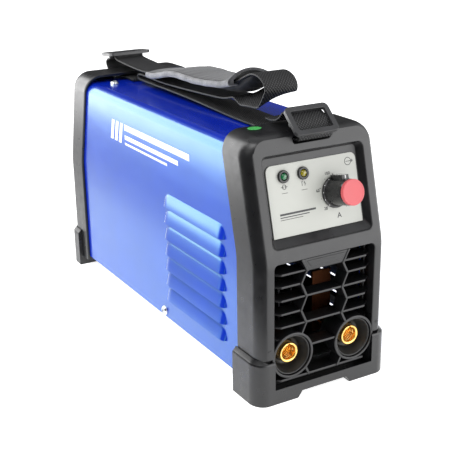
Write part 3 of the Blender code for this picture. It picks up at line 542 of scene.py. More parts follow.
def roll(start_angle, steps=8):
    """(depth share, outward share) along the corner, from an angle at the face to level with the side."""
    a0 = math.radians(start_angle)
    for k in range(steps + 1):
        a = a0 + (math.pi / 2 - a0) * k / steps
        inward = (math.cos(a0) - math.cos(a)) / math.cos(a0)
        yield inward, (math.sin(a) - math.sin(a0)) / (1 - math.sin(a0))


def bezel_body(name, side, grow=0.0, last=BEZEL_DEPTH, bottom=BEZEL_BOTTOM):
    rings = []
    stations = [(CORNER_DEPTH * d, out, 0.0) for d, out in roll(24)]
    stations += [(last - 0.8, 1.0, 0.0), (last, 1.0, -0.6)]
    for depth, out, trim in stations:
        half = FACE_HALF + (BEZEL_HALF - FACE_HALF) * out + grow + trim
        top = FACE_TOP + (BEZEL_TOP - FACE_TOP) * out + grow + trim
        rings.append(bezel_ring(depth, half, top, 11 + 6 * out, side, bottom))
    return ladder(name, rings)


def bezel_hollow(side):
    half, top = BEZEL_HALF - BEZEL_WALL, BEZEL_TOP - 2.8
    rings = [bezel_ring(depth, half - shrink, top - shrink, 14.5, side, BEZEL_BOTTOM + 3.0)
             for depth, shrink in ((BEZEL_FRONT_WALL, 0.3), (CORNER_DEPTH, 0.0), (BEZEL_DEPTH + 9.0, 0.0))]
    return ladder("hollow", rings)


def pocket(rim, floor, side, lip=1.3):
    """A cutter whose mouth is rounded by the lip; rim and floor are (half, bottom, top, depth, radius)."""
    half, low, high, _, radius = rim
    rings = [(half + lip, low - lip, high + lip, -3.0, radius + lip)]
    for k in range(1, 6):
        a = math.radians(18 * k)
        out = lip * (1 - math.sin(a))
        rings.append((half + out, low - out, high + out, lip * (1 - math.cos(a)), radius + out))
    rings.append(floor)
    skins = []
    for h, lo, hi, depth, r in rings:
        right = arc(h - r, lo + r, r, r, -90, 0, 5) + arc(h - r, hi - r, r, r, 0, 90, 5)
        skins.append([on_face(x, depth, z, side) for x, z in mirrored(right)])
    return ladder("pocket", skins)


def panel_holes():
    places = [(x, LED_Z, 4.0) for x in LED_XS.values()] + [(KNOB_X, KNOB_Z, 4.2)]
    cutters = []
    for x, z, radius in places:
        near, far = panel_frame(x, z, 6.0), panel_frame(x, z, -14.0)
        cutters.append(rod("hole", radius, far.translation, near.translation, 28))
    return cutters


def strap_slot(side):
    low, high, half = 198.1, 202.9, 16.5
    rings = []
    for depth, grow in ((-6.0, 0.7), (0.0, 0.7), (0.35, 0.2), (0.9, 0.0), (BEZEL_FRONT_WALL + 2.0, 0.0)):
        outline = [(u, v + (low + high) / 2) for u, v in
                   rounded_box(half + grow, (high - low) / 2 + grow, 1.2 + grow, 4)]
        rings.append([on_face(x, depth, z, side) for x, z in outline])
    return loft("slot", rings)


def guard_seat(side):
    y0, y1 = side * (FRONT - 5), side * (FRONT + 2.5)
    return box("seat", (-70, min(y0, y1), 0), (70, max(y0, y1), GUARD_LEDGE + 0.3))


def front_bezel():
    body = bezel_body("front_bezel_shell", 1)
    recess = pocket(RECESS_MOUTH, (42.3, 131.0, 188.6, PANEL_DEPTH, 3.0), 1)
    opening = pocket((OPENING_HALF - 0.9, OPENING_BOTTOM - 6, OPENING_TOP - 0.9, 0, 3.5),
                     (OPENING_HALF - 0.9, OPENING_BOTTOM - 6, OPENING_TOP - 0.9, 12, 3.5), 1, 0.9)
    cut(body, bezel_hollow(1), recess, opening, guard_seat(1), strap_slot(1), *panel_holes())
    dress(body, "bezel", "black_plastic", "front_bezel")


def rear_bezel():
    body = bezel_body("rear_bezel_shell", -1)
    rear = -FRONT
    recess = pocket(RECESS_MOUTH, (42.3, 129.0, 188.6, PANEL_DEPTH, 3.0), -1)
    tunnel = rod("tunnel", 42.5, (0, rear - 20, FAN_Z), (0, rear + 20, FAN_Z), 64)
    seat = rod("grille_seat", GRILLE_RADIUS + 0.3, (0, rear - 2.6, FAN_Z), (0, rear + 20, FAN_Z), 64)
    window = box("window", (-10.9, -13.5, -30.0), (10.9, 13.5, 9.0), rear_frame(SWITCH_X, SWITCH_Z))
    far, near = rear_frame(GLAND_X, GLAND_Z, -20), rear_frame(GLAND_X, GLAND_Z, 10)
    hole = rod("hole", 8.3, far.translation, near.translation, 32)
    cut(body, bezel_hollow(-1), recess, tunnel, seat, guard_seat(-1), strap_slot(-1), window, hole)
    dress(body, "bezel", "black_plastic", "rear_bezel")


PANEL_AXIS = Vector((0, -1, LEAN)).normalized()
REAR_AXIS = Vector((0, 1, LEAN)).normalized()


def panel_frame(x, z, height=0.0):
    """Frame on the control plate: X across, Y up the plate, Z towards the user."""
    return upright(Vector(on_face(x, PLATE_FACE, z)) + PANEL_AXIS * height, PANEL_AXIS)


def rear_frame(x, z, height=0.0):
    """Frame on the floor of the rear recess: X across as seen from behind, Y up, Z outwards."""
    return upright(Vector(on_face(x, PANEL_DEPTH, z, -1)) + REAR_AXIS * height, REAR_AXIS, (-1, 0, 0))


# ---------------------------------------------------------------- front grille

COLLAR_REACH = COLLAR_OUTER - 0.7     # bars run this close to a collar's axis
SLAT_HALF, RIB_WIDTH = 0.95, 1.9


def outside_collars(a, b, steps=240):
    """The longest stretch of a straight bar that stays outside both socket collars."""
    a, b = Vector(a), Vector(b)
    runs, current = [], []
    for i in range(steps + 1):
        p = a.lerp(b, i / steps)
        clear = all((p - Vector((side * SOCKET_X, SOCKET_Z))).length > COLLAR_REACH for side in (-1, 1))
        if clear:
            current.append(p)
        if current and (not clear or i == steps):
            runs.append((current[0], current[-1]))
            current = []
    return [(p, q) for p, q in runs if (q - p).length > 1.0]


def slat(z, left, right):
    """A level fin whose front edge is drawn back where it reaches the side of the opening."""
    front, back, bend, turned_back = FRONT + 1.6, FRONT + 15.0, 39.0, FRONT + 8.0

    def edge(x):
        share = max(0.0, (abs(x) - bend) / (OPENING_HALF - 0.9 - bend))
        return front + (turned_back - front) * share

    made = []
    for a, b in outside_collars((left, z), (right, z)):
        stops = [a.x] + [x for x in (-bend, bend) if a.x < x < b.x] + [b.x]
        outline = [(x, edge(x)) for x in stops] + [(b.x, back), (a.x, back)]
        made.append(prism("slat", outline, z - SLAT_HALF, z + SLAT_HALF, "Z"))
    return made


def rib(start, end, depth=0.9):
    """An upright bar in the face plane between two (x, z) points."""
    made = []
    for a, b in outside_collars(start, end):
        made.append(prism("rib", strip(a, b, RIB_WIDTH, 0.6), FRONT + depth, FRONT + 13.0))
    return made


def collar(side):
    lip = [(r, 15.0 - d) for r, d in arc(COLLAR_OUTER - 0.9, 0.9, 0.9, 0.9, 0, -90, 4)]
    lip += [(r, 15.0 - d) for r, d in arc(COLLAR_INNER + 0.6, 0.6, 0.6, 0.6, -90, -180, 4)]
    profile = [(COLLAR_OUTER, 0.0)] + lip + [(COLLAR_INNER, 0.0)]
    return turned("collar", profile, upright((side * SOCKET_X, FRONT + 15.5, SOCKET_Z), (0, -1, 0)), 72)


def polarity_mark(side):
    """Raised plus or minus beside a socket."""
    x, z, y = side * 50.3, 46.5, FRONT
    bars = [box("mark", (x - 1.6, y - 0.35, z - 0.35), (x + 1.6, y + 0.8, z + 0.35))]
    if side > 0:
        bars.append(box("mark", (x - 0.35, y - 0.35, z - 1.6), (x + 0.35, y + 0.8, z + 1.6)))
    return bars


RIM_HALF = OPENING_HALF - 0.95
RIM_LOW, RIM_HIGH = OPENING_BOTTOM + 0.4, OPENING_TOP - 0.95
GRILLE_SPLIT = 49.0


def front_grille():
    """Slats and honeycomb ribs above the sockets, with the raised name tag left blank."""
    parts = []
    for i, z in enumerate(HEX_LEVELS):
        if i % 2 == 0:
            parts += slat(z, -RIM_HALF, RIM_HALF)
        else:
            parts += slat(z, -RIM_HALF, -HEX_WIDE + 0.5) + slat(z, HEX_WIDE - 0.5, RIM_HALF)
    for side in (-1, 1):
        knots = [(side * (HEX_NARROW if i % 2 == 0 else HEX_WIDE), z) for i, z in enumerate(HEX_LEVELS)]
        for a, b in zip(knots, knots[1:]):
            parts += rib(a, b)
        parts += rib((side * HEX_NARROW, HEX_LEVELS[0]), (side * HEX_WIDE, RIM_HIGH), depth=0.0)
        x0, x1 = sorted((side * RIM_HALF, side * (RIM_HALF - 2)))
        parts.append(box("edge", (x0, FRONT + 11, GRILLE_SPLIT + 8), (x1, FRONT + 15, RIM_HIGH)))
    parts.append(box("edge", (-RIM_HALF, FRONT + 11, RIM_HIGH - 2), (RIM_HALF, FRONT + 15, RIM_HIGH)))
    field = [(-HEX_NARROW + 0.5, 105.0), (HEX_NARROW - 0.5, 105.0), (21.0, RIM_HIGH), (-21.0, RIM_HIGH)]
    parts.append(prism("field", field, FRONT + 0.6, FRONT + 13.0))
    tag = [(-HEX_NARROW + 3.0, 107.4), (HEX_NARROW - 3.0, 107.4),
           (17.6, RIM_HIGH - 1.6), (-17.6, RIM_HIGH - 1.6)]
    parts.append(prism("tag", tag, FRONT + 0.1, FRONT + 2.0))
    body = bevelled(joined("front_grille_moulding", parts), 0.55, 2)
    dress(body, "grille", "black_plastic", "front_grille")


def socket_surround():
    """The two rings around the sockets, the bars between and below them and the polarity marks."""
    parts = slat(17.6, -RIM_HALF, RIM_HALF) + slat(42.2, -14.0, 14.0)
    for side in (-1, 1):
        parts += rib((side * 17.0, 24.5), (side * 13.5, 17.6))
        parts.append(collar(side))
        parts += polarity_mark(side)
    parts.append(box("edge", (-RIM_HALF, FRONT + 11, RIM_LOW), (RIM_HALF, FRONT + 15, RIM_LOW + 2)))
    body = bevelled(joined("socket_surround_moulding", parts), 0.5, 2)
    dress(body, "grille", "black_plastic", "socket_surround")


# ---------------------------------------------------------------- foot guards

def guard_plan(inset, rear_edge):
    half = GUARD_HALF - inset
    right = arc(51.0, 13.0, half - 51.0, 13.0 - inset, -90, 0, 14) + [(half, rear_edge)]
    return mirrored(right)


def foot_guard(name, node, depth, side):
    face = FRONT - BEZEL_STEP
    levels = [(0.0, 0.9), (0.35, 0.35), (1.0, 0.0), (GUARD_TOP - 2.2, 0.0)]
    levels += [(GUARD_TOP - 2.2 + 2.2 * math.sin(math.radians(a)), 1.1 * (1 - math.cos(math.radians(a))))
               for a in (22, 45, 68)]
    levels += [(GUARD_TOP + 0.2, 1.3), (GUARD_LEDGE, 3.1)]
    rings = [[(x, side * (face + y), z) for x, y in guard_plan(inset, depth)] for z, inset in levels]
    body = loft(name, rings)
    seat = bezel_body("seat", side, 0.15, 60.0, BEZEL_BOTTOM - 0.3)
    y0, y1 = sorted((side * (face - 5), side * (face + 8)))
    mouth = box("mouth", (-OPENING_HALF + 0.9, y0, OPENING_BOTTOM), (OPENING_HALF - 0.9, y1, 60))
    arch = [(-FOOT_INNER, -1), (FOOT_INNER, -1), (FOOT_INNER, 0.6), (FOOT_INNER - 4, GUARD_FLOOR),
            (-FOOT_INNER + 4, GUARD_FLOOR), (-FOOT_INNER, 0.6)]
    y0, y1 = sorted((side * (face - 5), side * (face + depth + 5)))
    cut(body, seat, mouth, prism("arch", arch, y0, y1))
    bevelled(body, 0.45, 2, 40)
    dress(body, "guard", "guard_plastic", node)


# ---------------------------------------------------------------- sheet metal cover

def louvre_height(z, y, z_top):
    """How far the sheet stands out at (y, z) on the louvre under z_top."""
    ahead, behind = y - LOUVRE_FRONT, LOUVRE_REAR - y
    near = min(ahead, behind)
    if near <= 0:
        return 0.0
    share = min(near / LOUVRE_END, 1.0)
    round_off = math.sqrt(1 - (1 - share) ** 2)
    lip = z_top - LOUVRE_HEIGHT
    crest = z_top - LOUVRE_DROP * (1 - round_off)
    if z >= crest:
        return 0.0
    s = (crest - z) / (crest - lip)
    ease = min(s / LOUVRE_EASE, 1.0)
    bulge = 1 + LOUVRE_BULGE * (1 - s)
    return LOUVRE_RISE * round_off ** 0.7 * s * bulge * ease * ease * (3 - 2 * ease)


def cover_rows():
    """(z, louvre top or None, True for the wall below a lip) up one side of the cover."""
    rows = [(COVER_BOTTOM, None, False), (COVER_BOTTOM + 12, None, False)]
    tops = [LOUVRE_TOP - i * LOUVRE_PITCH for i in range(LOUVRE_COUNT)]
    for z_top in reversed(tops):
        lip = z_top - LOUVRE_HEIGHT
        rows += [(lip - 0.9, None, False), (lip, z_top, True), (lip, z_top, False)]
        rows += [(lip + LOUVRE_HEIGHT * k / LOUVRE_ROWS, z_top, False)
                 for k in range(1, LOUVRE_ROWS + 1)]
    return rows + [(150.0, None, False), (COVER_TOP - COVER_RADIUS, None, False)]


def cover_columns():
    """Distances from the front of the case, close together where the louvres end."""
    ends = [LOUVRE_END * (1 - math.cos(math.radians(9 * k))) for k in range(11)]
    level = LOUVRE_REAR - LOUVRE_FRONT - 2 * LOUVRE_END
    columns = [COVER_START, 45.0] + [LOUVRE_FRONT + e for e in ends]
    columns += [LOUVRE_FRONT + LOUVRE_END + level * k / 8 for k in range(1, 8)]
    columns += [LOUVRE_REAR - e for e in reversed(ends)]
    return columns + [200.0, 250.0, 300.0, LENGTH - COVER_START]


def cover():
    """One sheet: up the left side with its louvres, over the folds and the top, down the right side."""
    columns = cover_columns()
    points, faces, index = [], [], {}
    rows = cover_rows()
    sections = [(-1, row) for row in rows]
    fold = arc(COVER_HALF - COVER_RADIUS, COVER_TOP - COVER_RADIUS, COVER_RADIUS, COVER_RADIUS, 90, 0, 12)
    over = [(-x, z) for x, z in reversed(fold[:-1])] + fold[:-1]
    sections += [(0, xz) for xz in over] + [(1, row) for row in reversed(rows)]

    def vertex(r, c):
        side, row = sections[r]
        y = columns[c] - LENGTH / 2
        if side == 0:
            p = (row[0], y, row[1])
        else:
            z, z_top, below = row
            rise = 0.0 if z_top is None or below else louvre_height(z, columns[c], z_top)
            p = (side * (COVER_HALF + rise), y, z)
        key = tuple(round(v, 4) for v in p)
        if key not in index:
            index[key] = len(points)
            points.append(p)
        return index[key]

    for r in range(len(sections) - 1):
        (side, row), (other, following) = sections[r], sections[r + 1]
        if side == other != 0 and row[0] == following[0]:
            continue                      # the slit under a lip stays open
        for c in range(len(columns) - 1):
            face = (vertex(r, c), vertex(r + 1, c), vertex(r + 1, c + 1), vertex(r, c + 1))
            unique = list(dict.fromkeys(face))
            if len(unique) > 2:
                faces.append(unique)
    body = solid("cover_sheet", points, faces, repair=False)
    body.data.materials.append(look_of("blue"))
    # the inner faces of the sheet take the near-black look, painted shade for the inside of the case
    body.data.materials.append(look_of("primer"))
    thick = body.modifiers.new("sheet", "SOLIDIFY")
    thick.thickness, thick.offset, thick.material_offset = 1.1 * MM, -1.0, 1
    boolean(body, [], "UNION")
    dress(body, None, "blue_paint", "cover", angle=50)


def screw_places():
    for side, word in ((-1, "left"), (1, "right")):
        yield f"cover_screw_top_{word}", (side * 33.0, 118.0, COVER_TOP), (0, 0, 1)
        yield f"cover_screw_side_{word}", (side * COVER_HALF, -22.0, 18.6), (side, 0, 0)


def cover_screw(node, centre, way):
    """Pan head screw with a cross recess and a flange washer under the head."""
    dome = arc(1.6, 0.9, 2.4, 1.9, 0, 90, 6)
    profile = [(0, -5.0), (1.7, -5.0), (1.7, 0.05), (4.4, 0.05), (4.4, 0.6)] + dome + [(0, 2.8)]
    across = (0, 1, 0) if abs(way[0]) > 0.5 else (1, 0, 0)
    place = upright(centre, way, across)
    body = turned(node + "_head", profile, place, 32)
    turned_place = place @ Matrix.Rotation(math.radians(25), 4, "Z")
    cross = [box("cross", (-1.9, -0.45, 1.2), (1.9, 0.45, 4), turned_place),
             box("cross", (-0.45, -1.9, 1.2), (0.45, 1.9, 4), turned_place)]
    cut(body, *cross)
    bevelled(body, 0.12, 2)
    dress(body, "zinc", "screw_steel", node)


# ---------------------------------------------------------------- control panel

def control_plate():
    place = panel_frame(0, KNOB_Z)
    slope = math.hypot(1, LEAN)
    low, high = (PLATE_BOTTOM - KNOB_Z) * slope, (PLATE_TOP - KNOB_Z) * slope
    right = [(PLATE_HALF, low)] + arc(PLATE_HALF - 5, high - 5, 5, 5, 0, 90, 8)
    body = prism("control_plate_face", mirrored(right), -PLATE_THICK, 0.0, "Z", place)
    cut(body, *panel_holes())
    bevelled(body, 0.15, 2)
    dress(body, "plate", "silver_plate", "control_plate")


PRINT = (0.0, 0.08)       # printed marks stand this far off the plate


def bar(a, b, width, place):
    """A printed line between two points of the plate."""
    return prism("bar", strip(Vector(a), Vector(b), width), *PRINT, "Z", place)


def ring(radius, width, place, steps=40):
    """A printed circle, in as many flat pieces as there are steps."""
    outer = arc(0, 0, radius, radius, 0, 360, steps)
    inner = arc(0, 0, radius - width, radius - width, 0, 360, steps)
    parts = []
    for i in range(steps):
        outline = [outer[i], outer[i + 1], inner[i + 1], inner[i]]
        parts.append(prism("ring", outline, *PRINT, "Z", place))
    return joined("ring", parts)


def lettering(text, size, place):
    """Generic numerals or a unit letter, filled and thin, centred on the frame's origin."""
    curve = bpy.data.curves.new("mark", "FONT")
    curve.body, curve.size = text, size
    curve.align_x, curve.align_y = "CENTER", "CENTER"
    curve.extrude, curve.offset, curve.resolution_u = PRINT[1] / 2, 0.012 * size, 3
    obj = linked("mark", curve)
    mesh = baked(obj)
    bpy.data.objects.remove(obj)
    points = [(v.co.x, v.co.y, v.co.z + PRINT[1] / 2) for v in mesh.vertices]
    return solid("mark", points, [tuple(p.vertices) for p in mesh.polygons], place)


def panel_print():
    """Lamp symbols, output symbol, dial scale with numbers and the unit letter."""
    power, alarm = [panel_frame(LED_XS[word], 167.0) for word in ("power", "alarm")]
    output = panel_frame(33.1, 177.2)
    parts = [ring(1.9, 0.4, power), bar((-2.9, 0), (-0.9, 0), 0.4, power)]
    parts += [bar((0.9, 0), (2.9, 0), 0.4, power)]
    parts += [bar((-0.9, -0.9), (-0.9, 0.9), 0.4, power), bar((0.9, -0.9), (0.9, 0.9), 0.4, power)]
    parts += [bar((-1.6, -1.6), (-1.6, 1.8), 0.45, alarm), bar((-1.8, 1.8), (-0.4, 1.8), 0.4, alarm)]
    parts += [bar((0.2, 0.4), (1.0, 1.7), 0.45, alarm), bar((0.2, 0.4), (1.5, 0.2), 0.45, alarm),
              bar((1.5, 0.2), (0.7, -1.6), 0.45, alarm)]
    for x in LED_XS.values():
        parts.append(bar((-2.6, 0), (2.6, 0), 0.35, panel_frame(x, 162.6)))
    parts += [ring(3.1, 0.45, output), bar((-1.9, 0), (4.6, 0), 0.45, output)]
    parts += [bar((4.6, 0), (3.4, 1.1), 0.45, output), bar((4.6, 0), (3.4, -1.1), 0.45, output)]
    dial = panel_frame(KNOB_X, KNOB_Z)
    for k in range(9):
        a = math.radians(230 - 280 * k / 8)
        way = Vector((math.cos(a), math.sin(a)))
        parts.append(bar(way * 12.8, way * (14.2 if k % 2 == 0 else 13.6), 0.45, dial))
    for text, angle, radius in (("20", 229, 14.9), ("60", 168, 15.4), ("100", 108, 15.6), ("140", -48, 16.0)):
        a = math.radians(angle)
        spot = dial @ Matrix.Translation((radius * math.cos(a), radius * math.sin(a), 0))
        parts.append(lettering(text, 3.3, spot))
    parts.append(lettering("A", 5.6, panel_frame(19.6, 138.9)))
    rule = panel_frame(-17.0, 146.0)
    parts += [bar((-16, 1.6), (16, 1.6), 1.5, rule), bar((-16, -0.6), (10, -0.6), 0.7, rule),
              bar((-16, -2.4), (4, -2.4), 0.4, rule)]
    dress(joined("panel_print", parts), "ink", "silver_plate")


def current_knob():
    """Skirted knob with a domed shoulder, a pointer ridge with a white line and white ticks round the skirt.
    """
    place = panel_frame(KNOB_X, KNOB_Z, 0.5)
    rim = KNOB_HEIGHT - 3.9
    skirt = arc(11.5, 0.9, 0.7, 0.7, 0, 90, 4)
    profile = [(3.3, 0.0), (11.9, 0.0), (12.2, 0.3)] + skirt + [(10.9, 1.9), (10.5, 2.6), (10.25, 4.0)]
    profile += [(10.0, rim - 0.5), (9.6, rim), (7.5, rim), (7.5, rim - 1.5), (3.3, rim - 1.5)]
    body = turned("knob_body", profile, place, 72)
    ridge = prism("ridge", [(-3.4, 7.0), (3.4, 7.0), (3.0, 13.2), (-3.0, 13.2)], 0.9, 15.5, "Z", place)
    fuse(body, ridge)
    bevelled(body, 0.35, 2, 40)
    dress(body, "knob", "knob_black", "current_knob", body="knob")
    marks = [box("line", (-0.5, 13.05, 1.6), (0.5, 13.32, 14.9), place),
             box("line", (-0.5, 10.4, 15.4), (0.5, 12.9, 15.65), place)]
    for k in range(11):
        turn = place @ Matrix.Rotation(math.radians(-140 + 28 * k), 4, "Z")
        if k != 5:
            marks.append(box("tick", (-0.22, 10.6, 1.45), (0.22, 11.9, 1.68), turn))
    dress(joined("knob_marks", marks), "white_ink", "knob_black", body="knob")


def knob_cap():
    place = panel_frame(KNOB_X, KNOB_Z, KNOB_HEIGHT - 4.6)
    edge = arc(9.3, 4.0, 0.6, 0.6, 0, 90, 5)
    profile = [(0, 0.0), (7.2, 0.0), (7.2, 1.5), (9.7, 1.5), (9.9, 1.8)] + edge
    profile += [(8.7, 4.6), (8.3, 4.35), (0, 4.25)]
    body = turned("knob_cap_disc", profile, place, 72)
    dress(body, "cap", "cap_red", "knob_cap", body="knob")


def lamp(word, x, look, slot):
    """Bezel ring and lens of one indicator lamp."""
    place = panel_frame(x, LED_Z, -4.0)
    bead = arc(3.9, 5.2, 1.0, 0.9, 0, 90, 6)
    profile = [(2.75, 0.0), (3.7, 0.0), (3.7, 4.05), (4.9, 4.05)] + bead + [(3.2, 6.0), (2.75, 5.2)]
    holder = turned(f"{word}_lamp_ring", profile, place, 48)
    dress(holder, "holder", "holder_black", f"{word}_led_holder")
    dome = arc(0, 0, 2.65, 2.3, 0, 90, 8)
    profile = [(0, -2.0), (2.65, -2.0)] + [(r, 5.2 + h) for r, h in dome[:-1]] + [(0, 7.5)]
    lens = turned(f"{word}_lamp_lens", profile, place, 40)
    dress(lens, look, slot, f"{word}_led")


# ---------------------------------------------------------------- output sockets

def socket(word, side):
    """Insulating cup with a stepped cone, and the brass contact with its key slot."""
    x = side * SOCKET_X
    place = upright((x, FRONT + 24.0, SOCKET_Z), (0, -1, 0))
    outer = COLLAR_INNER - 0.25
    profile = [(8.5, 0.0), (outer, 0.0), (outer, 21.4)] + arc(outer - 0.6, 21.4, 0.6, 0.6, 30, 150, 4)
    profile += [(outer - 1.6, 20.6), (12.4, 13.0), (11.6, 11.8), (10.6, 11.2), (9.4, 11.0), (8.5, 10.4)]
    cup = turned(f"socket_cup_{word}", profile, place, 72)
    dress(cup, "socket", "socket_black", f"socket_body_{word}")
    place = upright((x, FRONT + 44.0, SOCKET_Z), (0, -1, 0))
    mouth = arc(7.3, 37.1, 0.9, 0.9, 0, 90, 4) + [(6.7, 37.9), (6.1, 37.4), (5.8, 36.8)]
    thread = []
    for k in range(6):
        z = 35.0 - 2.2 * k
        thread += [(5.8, z), (6.25, z - 0.5), (6.25, z - 1.0), (5.8, z - 1.5)]
    profile = [(0, 0.0), (5.0, 0.0), (5.0, 16.0), (12.0, 16.0), (12.0, 19.5), (8.2, 19.5)] + mouth + thread
    profile += [(5.8, 21.5), (2.4, 21.5), (1.8, 23.4), (0, 24.0)]
    contact = turned(f"socket_pin_{word}", profile, place, 64)
    key = prism("key", [(x - 1.5, SOCKET_Z + 3), (x + 1.5, SOCKET_Z + 3), (x + 1.5, SOCKET_Z + 6.8),
                        (x, SOCKET_Z + 8.0), (x - 1.5, SOCKET_Z + 6.8)], FRONT - 1, FRONT + 14)
    cut(contact, key)
    bevelled(contact, 0.18, 2, 40)
    dress(contact, "brass", "brass", f"socket_contact_{word}")


# ---------------------------------------------------------------- carrying strap

BUCKLE_TO_BIGHT = [
    (63.0, 208.9), (57.0, 208.7), (50.0, 209.6), (44.5, 212.5), (40.0, 216.9), (35.0, 218.6), (31.5, 216.8),
    (27.6, 215.0), (24.1, 212.8), (21.6, 209.6), (19.5, 206.0), (17.6, 203.4), (18.6, 201.2), (22.5, 200.5),
    (34.0, 200.6), (58.0, 200.4), (80.0, 199.7), (115.0, 199.9), (144.0, 200.9), (190.0, 202.4),
    (240.0, 203.0), (280.0, 203.0), (289.0, 203.6), (291.6, 205.6), (289.0, 207.6), (280.0, 208.1),
    (240.0, 207.8), (198.0, 209.0), (150.0, 211.4), (128.0, 213.0), (112.0, 216.6), (98.0, 219.8),
    (86.0, 221.0), (76.0, 221.7), (68.5, 224.0), (63.8, 229.2), (66.4, 235.2), (73.8, 239.0), (84.0, 239.4),
    (95.0, 235.2),
]
PAD_RUN = [
    (107.0, 229.6), (120.0, 226.4), (133.0, 224.6), (152.0, 222.8), (171.0, 221.8), (195.0, 221.8),
    (211.0, 221.0), (228.0, 217.6), (244.0, 213.9), (258.0, 213.0),
]
PAD_TO_REAR = [
    (270.0, 212.2), (285.0, 211.9), (300.0, 212.2), (316.0, 213.0), (330.0, 213.8), (339.3, 214.7),
    (344.8, 217.5), (348.2, 218.9), (351.4, 218.3), (357.2, 213.7), (362.5, 211.8), (365.6, 209.2),
    (364.8, 205.8), (360.5, 201.8), (353.5, 200.5), (345.0, 200.5), (318.0, 200.4), (302.0, 200.0),
]
STRAP_ROUTE = BUCKLE_TO_BIGHT + PAD_RUN + PAD_TO_REAR


def smooth_route(route, parts=12):
    """Points along a Catmull-Rom curve through the route, parts of them for each of its spans."""
    points = []
    for i in range(len(route) - 1):
        p0, p1 = Vector(route[max(i - 1, 0)]), Vector(route[i])
        p2, p3 = Vector(route[i + 1]), Vector(route[min(i + 2, len(route) - 1)])
        for k in range(parts):
            t = k / parts
            points.append(0.5 * (2 * p1 + (p2 - p0) * t + (2 * p0 - 5 * p1 + 4 * p2 - p3) * t * t
                                 + (3 * p1 - p0 - 3 * p2 + p3) * t ** 3))
    return points + [Vector(route[-1])]


def evenly(points, step):
    """The same path with a point about every step millimetres, and its length."""
    total = sum((b - a).length for a, b in zip(points, points[1:]))
    count = round(total / step)
    spaced, walked, i = [points[0]], 0.0, 0
    for k in range(1, count):
        target = total * k / count
        while walked + (points[i + 1] - points[i]).length < target:
            walked += (points[i + 1] - points[i]).length
            i += 1
        spaced.append(points[i].lerp(points[i + 1], (target - walked) / (points[i + 1] - points[i]).length))
    return spaced + [points[-1]], total


def normals_of(path):
    made = []
    for i in range(len(path)):
        along = (path[min(i + 1, len(path) - 1)] - path[max(i - 1, 0)]).normalized()
        made.append(Vector((-along.y, along.x)))
    return made


TWIST_BACK, TWIST_HEIGHT = (64.0, 114.0), (211.0, 226.5)      # where the strap twists
TWIST_LIFT = 7.5


def edge_lift(p):
    """How far the right edge stands up and the left edge hangs down where the strap twists in its loop."""
    share = min((p.x - TWIST_BACK[0]) / 12, (TWIST_BACK[1] - p.x) / 16,
                (p.y - TWIST_HEIGHT[0]) / 3, (TWIST_HEIGHT[1] - p.y) / 4)
    share = min(max(share, 0.0), 1.0)
    return TWIST_LIFT * share * share * (3 - 2 * share)


def strap_point(p, normal, x, height):
    """World point x across the strap and height above its middle surface."""
    lift = edge_lift(p) * x / WEB_HALF
    return (x, p.x - LENGTH / 2 + normal.x * height, p.y + normal.y * height + lift)


def strap_webbing():
    """One strap from tail to tail, with a map in millimetres that the weave is laid out in."""
    path, length = evenly(smooth_route(STRAP_ROUTE), 1.6)
    normals = normals_of(path)
    half = WEB_THICK / 2
    section = [(-WEB_HALF, -0.35), (-WEB_HALF, 0.35), (-WEB_HALF + 0.35, half)]
    section += [(WEB_HALF * k / 4, half) for k in range(-3, 4)] + [(WEB_HALF - 0.35, half)]
    section += [(WEB_HALF, 0.35), (WEB_HALF, -0.35), (WEB_HALF - 0.35, -half)]
    section += [(WEB_HALF * k / 4, -half) for k in range(3, -4, -1)] + [(-WEB_HALF + 0.35, -half)]
    web = loft("strap_web", [[strap_point(p, n, x, h) for x, h in section] for p, n in zip(path, normals)])
    layer = web.data.uv_layers.new(name="yarns")
    step = length / (len(path) - 1)
    for loop in web.data.loops:
        ring, spot = divmod(loop.vertex_index, len(section))
        layer.data[loop.index].uv = (section[spot][0] + WEB_HALF, ring * step)
    dress(web, "web", "webbing", "strap_webbing", angle=60)


PAD_HALF = 22.0


PAD_OPEN_SHARE, PAD_OPEN_HEIGHT = 0.16, 6.5


def pad_lift(share):
    """The sleeve's upper layer stands open over its front end."""
    ease = max(0.0, 1 - share / PAD_OPEN_SHARE)
    return PAD_OPEN_HEIGHT * ease * ease


def pad_section(share, i, inner):
    """Half of a cross section as (x, height), upper layer first; the inner one is the sleeve's tunnel."""
    half, steps = (16.6, 20) if inner else (PAD_HALF, 28)
    lift = pad_lift(share)
    pucker = 0.22 * math.sin(i * 0.9) + 0.15 * math.sin(i * 0.37 + 1.0)
    upper, lower = [], []
    for k in range(steps + 1):
        x = half * math.sin(math.pi * (k / steps - 0.5))
        bow = 1 - (x / half) ** 2
        if inner:
            upper.append((x, 1.1 + (lift + 0.5) * bow ** 0.8))
            lower.append((x, -1.25))
        else:
            upper.append((x, 1.0 + 2.6 * bow ** 0.6 + lift * bow + 2 * pucker * bow * (1 - bow)))
            lower.append((x, -1.0 - 1.9 * bow ** 0.5))
    return upper + lower[::-1]


def shoulder_pad():
    """Sewn sleeve: crowned upper layer, flat lower layer, open at both ends around the webbing."""
    path, _ = evenly(smooth_route(PAD_RUN), 1.5)
    normals, last = normals_of(path), len(path) - 1
    body = loft("shoulder_pad_body", [[strap_point(p, n, x, h) for x, h in pad_section(i / last, i, False)]
                                      for i, (p, n) in enumerate(zip(path, normals))])
    stations = [(path[0] * 2 - path[2], normals[0], 0.0)]
    stations += [(p, n, i / last) for i, (p, n) in enumerate(zip(path, normals))]
    stations.append((path[-1] * 2 - path[-3], normals[-1], 1.0))
    tunnel = loft("tunnel", [[strap_point(p, n, x, h) for x, h in pad_section(share, 0, True)]
                             for p, n, share in stations])
    cut(body, tunnel)
    dress(body, "pad", "pad_grey", "shoulder_pad", angle=60)
    body.modifiers.clear()


